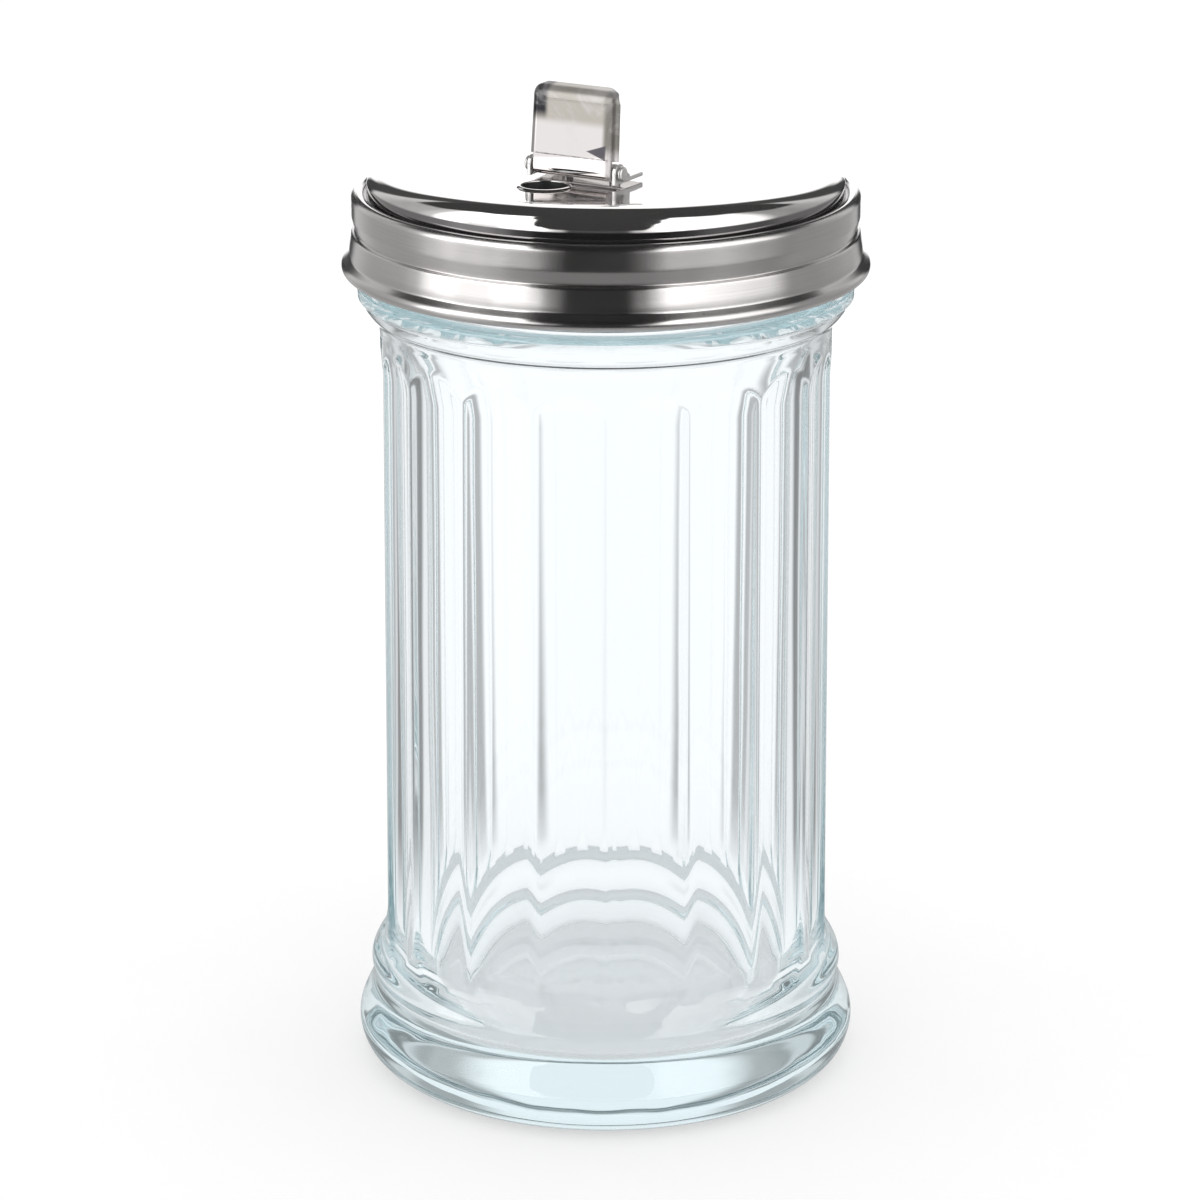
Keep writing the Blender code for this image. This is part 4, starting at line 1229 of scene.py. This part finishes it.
# How high in degrees the bright walls reach before the dark ceiling starts
CEILING_RING = ((-180, 44), (-158, 44), (-152, 42), (-140, 37), (-128, 31), (-108, 33), (-80, 46), (-52, 54),
                (-41, 42), (-33, 12), (-25, 4), (17, 4), (27, 30), (35, 46), (46, 53), (80, 46), (108, 33),
                (128, 31), (140, 37), (152, 42), (158, 44), (180, 44))
# Glass sees the same on both sides: white behind and two dark panels, which draw the lines of its edges
GLASS_SIDE = ((70, 0.84), (110, 0.84), (120, 0.22), (129, 0.22), (135, 0.70), (139, 0.70), (146, 0.42),
              (155, 0.42), (166, 1.0), (180, 1.0))
GLASS_RING = (*[(-turn, value) for turn, value in reversed(GLASS_SIDE)], (0, 0.76), *GLASS_SIDE)
# The horizon's height in degrees at the front and behind, and how softly walls and ceiling meet
FRONT_HORIZON = -6.0
BACK_HORIZON = -14.0
EDGE_SOFTNESS = 5.0
# Brightness of the ceiling, of the panel behind the viewer, of the flap's panel and of the floor in metal
DARK_CEILING = 0.015
LIGHT_BEHIND = 1.4
FLAP_PANEL = 1.3
FLAP_PANEL_TURN = 60.0
FLOOR_IN_METAL = 0.46
CEILING_IN_GLASS = 0.60
# Where each of them starts and where it is full, round or up in degrees
BACK_TURN = (140.0, 158.0)
BEHIND_TURN = (163.0, 168.0)
BEHIND_RISE = (16.0, 10.0)
PANEL_WIDTH = (12.0, 7.0)
PANEL_RISE = (10.0, 4.0)
FLOOR_RISE = (-28.0, -36.0)
OVERHEAD_RISE = (45.0, 75.0)
# The table top: its white in cloudy patches, its glow outside and in glass, how far in metres its plain
# white reaches round the object, and the height from which it is seen
TABLE_WHITE = (0.54, 0.56)
TABLE_GLOW = (0.50, 0.56)
TABLE_NEAR = (0.06, 0.12)
TABLE_VIEW_HEIGHT = 0.12


def around_ring(w, turn, stops):
    """Read a ring's value in a direction given in degrees."""
    most = max(value for direction, value in stops)
    share = w.plus(w.math("DIVIDE", turn, 360.0), 0.5)
    reader = w.node("ShaderNodeValToRGB", {"Fac": share})
    ramp = reader.color_ramp
    ramp.interpolation = "EASE"
    for direction, value in stops[1:-1]:
        point = ramp.elements.new(direction / 360.0 + 0.5)
        point.color = (*[value / most] * 3, 1.0)
    for point, (direction, value) in ((ramp.elements[0], stops[0]), (ramp.elements[-1], stops[-1])):
        point.color = (*[value / most] * 3, 1.0)
    return w.times(reader.outputs["Color"], float(most))


def surroundings_group():
    """How bright the studio is in each direction, as metal and as glass should see it."""
    tree, given, result = new_group("studio_surroundings", [("Direction", "NodeSocketVector", None)],
                                    [("In Metal", "NodeSocketFloat"), ("In Glass", "NodeSocketFloat")])
    w = Wiring(tree)
    x, y, z = w.split(given.outputs["Direction"])
    degrees = 180 / math.pi
    turn = w.times(w.math("ARCTAN2", x, w.times(y, -1.0)), degrees)
    rise = w.times(w.math("ARCTAN2", z, w.reach(x, y)), degrees)
    at_back = w.ramp(w.size(turn), *BACK_TURN)
    horizon = w.blend(FRONT_HORIZON, BACK_HORIZON, at_back)
    raised = w.ramp(rise, horizon, w.plus(horizon, EDGE_SOFTNESS))
    around = w.blend(around_ring(w, turn, LOW_RING), around_ring(w, turn, HIGH_RING), raised)
    ceiling = around_ring(w, turn, CEILING_RING)
    dimmed = w.blend(around, DARK_CEILING, w.ramp(rise, ceiling, w.plus(ceiling, EDGE_SOFTNESS)))
    behind = w.times(w.ramp(w.size(turn), *BEHIND_TURN), w.ramp(rise, *BEHIND_RISE))
    dimmed = w.blend(dimmed, w.math("MAXIMUM", dimmed, LIGHT_BEHIND), behind)
    sideways = w.size(w.plus(turn, FLAP_PANEL_TURN))
    panel = w.times(w.ramp(sideways, *PANEL_WIDTH), w.ramp(rise, *PANEL_RISE))
    dimmed = w.blend(dimmed, w.math("MINIMUM", dimmed, FLAP_PANEL), panel)
    dimmed = w.blend(dimmed, FLOOR_IN_METAL, w.ramp(rise, *FLOOR_RISE))
    w.put(dimmed, result.inputs["In Metal"])
    clear = w.blend(around_ring(w, turn, GLASS_RING), CEILING_IN_GLASS, w.ramp(rise, *OVERHEAD_RISE))
    w.put(clear, result.inputs["In Glass"])
    return tree


def studio_world():
    """White for the camera, plain soft light for everything matt, and a studio for metal and glass."""
    world = bpy.data.worlds.new("studio")
    bpy.context.scene.world = world
    world.use_nodes = True
    w = Wiring(world.node_tree)
    shine = world.node_tree.nodes["Background"]
    view = w.node("ShaderNodeTexCoord").outputs["Generated"]
    studio = use_group(w, group_named("studio_surroundings", surroundings_group), {"Direction": view})
    path = w.node("ShaderNodeLightPath").outputs
    value = w.blend(1.0, studio.outputs["In Metal"], path["Is Glossy Ray"])
    value = w.blend(value, studio.outputs["In Glass"], path["Is Transmission Ray"])
    value = w.blend(value, 1.0, path["Is Camera Ray"])
    w.put(w.tinted(value, COOL_WHITE, path["Is Transmission Ray"]), shine.inputs["Color"])


def floor_material():
    """A white table top that keeps a soft shadow, and that metal and glass see as the studio has it."""
    material, w, shader, place = start_material("white_table")
    tree = material.node_tree
    tree.nodes.remove(shader)
    toward = w.node("ShaderNodeVectorMath", {0: place, 1: (0.0, 0.0, -TABLE_VIEW_HEIGHT)}, operation="ADD")
    studio = use_group(w, group_named("studio_surroundings", surroundings_group),
                       {"Direction": toward.outputs[0]})
    path = w.node("ShaderNodeLightPath").outputs
    through_glass = path["Is Transmission Ray"]
    seen = w.blend(1.0, studio.outputs["In Metal"], path["Is Glossy Ray"])
    reach = w.node("ShaderNodeVectorMath", {0: place}, operation="LENGTH").outputs["Value"]
    through = w.blend(1.0, studio.outputs["In Glass"], w.ramp(reach, *TABLE_NEAR))
    seen = w.blend(seen, through, through_glass)
    seen = w.blend(seen, 1.0, path["Is Camera Ray"])
    white = w.ramp(w.noise(place, 30.0, 2.0), 0.0, 1.0, *TABLE_WHITE)
    matt = w.node("ShaderNodeBsdfDiffuse",
                  {"Color": w.tinted(w.times(seen, white), COOL_WHITE, through_glass)})
    share = w.blend(*TABLE_GLOW, through_glass)
    mirrored = w.math("MAXIMUM", path["Is Glossy Ray"], through_glass)
    watched = w.math("MAXIMUM", path["Is Camera Ray"], mirrored)
    shown = w.tinted(w.times(seen, share), COOL_WHITE, through_glass)
    glow = w.node("ShaderNodeEmission", {"Color": shown, "Strength": watched})
    both = w.node("ShaderNodeAddShader", {0: matt.outputs[0], 1: glow.outputs[0]})
    w.put(both.outputs[0], tree.nodes["Material Output"].inputs["Surface"])
    return material


class DISPENSER_OT_stage(bpy.types.Operator):
    """Set up the floor, the light and the camera"""
    bl_idname = "dispenser.make_stage"
    bl_label = "Stage"

    def execute(self, context):
        settings = context.scene.dispenser_stage
        studio_world()
        if settings.show_floor:
            self.make_floor()
        self.make_camera(settings)
        context.scene.view_settings.view_transform = "Standard"
        for name, count in (("max_bounces", 48), ("glossy_bounces", 32), ("transmission_bounces", 32)):
            setattr(context.scene.cycles, name, count)
        return {"FINISHED"}

    def make_floor(self):
        bm = bmesh.new()
        bmesh.ops.create_circle(bm, cap_ends=True, segments=96, radius=4.0,
                                matrix=Matrix.Translation((0, 0, -0.2 * MM)))
        mesh = bpy.data.meshes.new("table_top")
        bm.to_mesh(mesh)
        bm.free()
        add_piece("table_top", mesh, floor_material())

    def make_camera(self, settings):
        data = bpy.data.cameras.new("camera")
        data.lens = settings.lens
        data.sensor_width = 36.0
        data.clip_start = 0.01
        camera = bpy.data.objects.new("camera", data)
        bpy.context.scene.collection.objects.link(camera)
        camera.location = (-0.85 * MM, -settings.camera_distance, settings.camera_height)
        camera.rotation_euler = (QUARTER_TURN - settings.camera_pitch, 0.0, 0.0)
        bpy.context.scene.camera = camera


class DISPENSER_PT_panel(bpy.types.Panel):
    """Lists the steps that build the dispenser"""
    bl_idname = "DISPENSER_PT_panel"
    bl_label = "Sugar Dispenser"
    bl_space_type = "VIEW_3D"
    bl_region_type = "UI"
    bl_category = "Dispenser"

    def draw(self, context):
        scene = context.scene
        for title, group, step in (("Jar", scene.dispenser_jar, "dispenser.make_jar"),
                                   ("Cap", scene.dispenser_cap, "dispenser.make_cap"),
                                   ("Flap", scene.dispenser_flap, "dispenser.make_flap"),
                                   ("Stage", scene.dispenser_stage, "dispenser.make_stage")):
            box = self.layout.box()
            box.label(text=title)
            for name in group.bl_rna.properties.keys():
                if name not in ("rna_type", "name"):
                    box.prop(group, name)
            box.operator(step)
        self.layout.operator("dispenser.finish_liner")
        self.layout.operator("dispenser.make_hinge")


CLASSES = (JarSizes, CapSizes, FlapSizes, StageSettings, DISPENSER_OT_jar, DISPENSER_OT_cap,
           DISPENSER_OT_liner, DISPENSER_OT_hinge, DISPENSER_OT_flap, DISPENSER_OT_stage, DISPENSER_PT_panel)


def register():
    for item in CLASSES:
        bpy.utils.register_class(item)
    bpy.types.Scene.dispenser_jar = PointerProperty(type=JarSizes)
    bpy.types.Scene.dispenser_cap = PointerProperty(type=CapSizes)
    bpy.types.Scene.dispenser_flap = PointerProperty(type=FlapSizes)
    bpy.types.Scene.dispenser_stage = PointerProperty(type=StageSettings)


def unregister():
    for name in ("dispenser_jar", "dispenser_cap", "dispenser_flap", "dispenser_stage"):
        delattr(bpy.types.Scene, name)
    for item in reversed(CLASSES):
        bpy.utils.unregister_class(item)


def main():
    """Build every piece in order."""
    register()
    bpy.ops.dispenser.make_stage()
    bpy.ops.dispenser.make_jar()
    bpy.ops.dispenser.make_cap()
    bpy.ops.dispenser.finish_liner()
    bpy.ops.dispenser.make_hinge()
    bpy.ops.dispenser.make_flap()


if __name__ == "__main__":
    main()
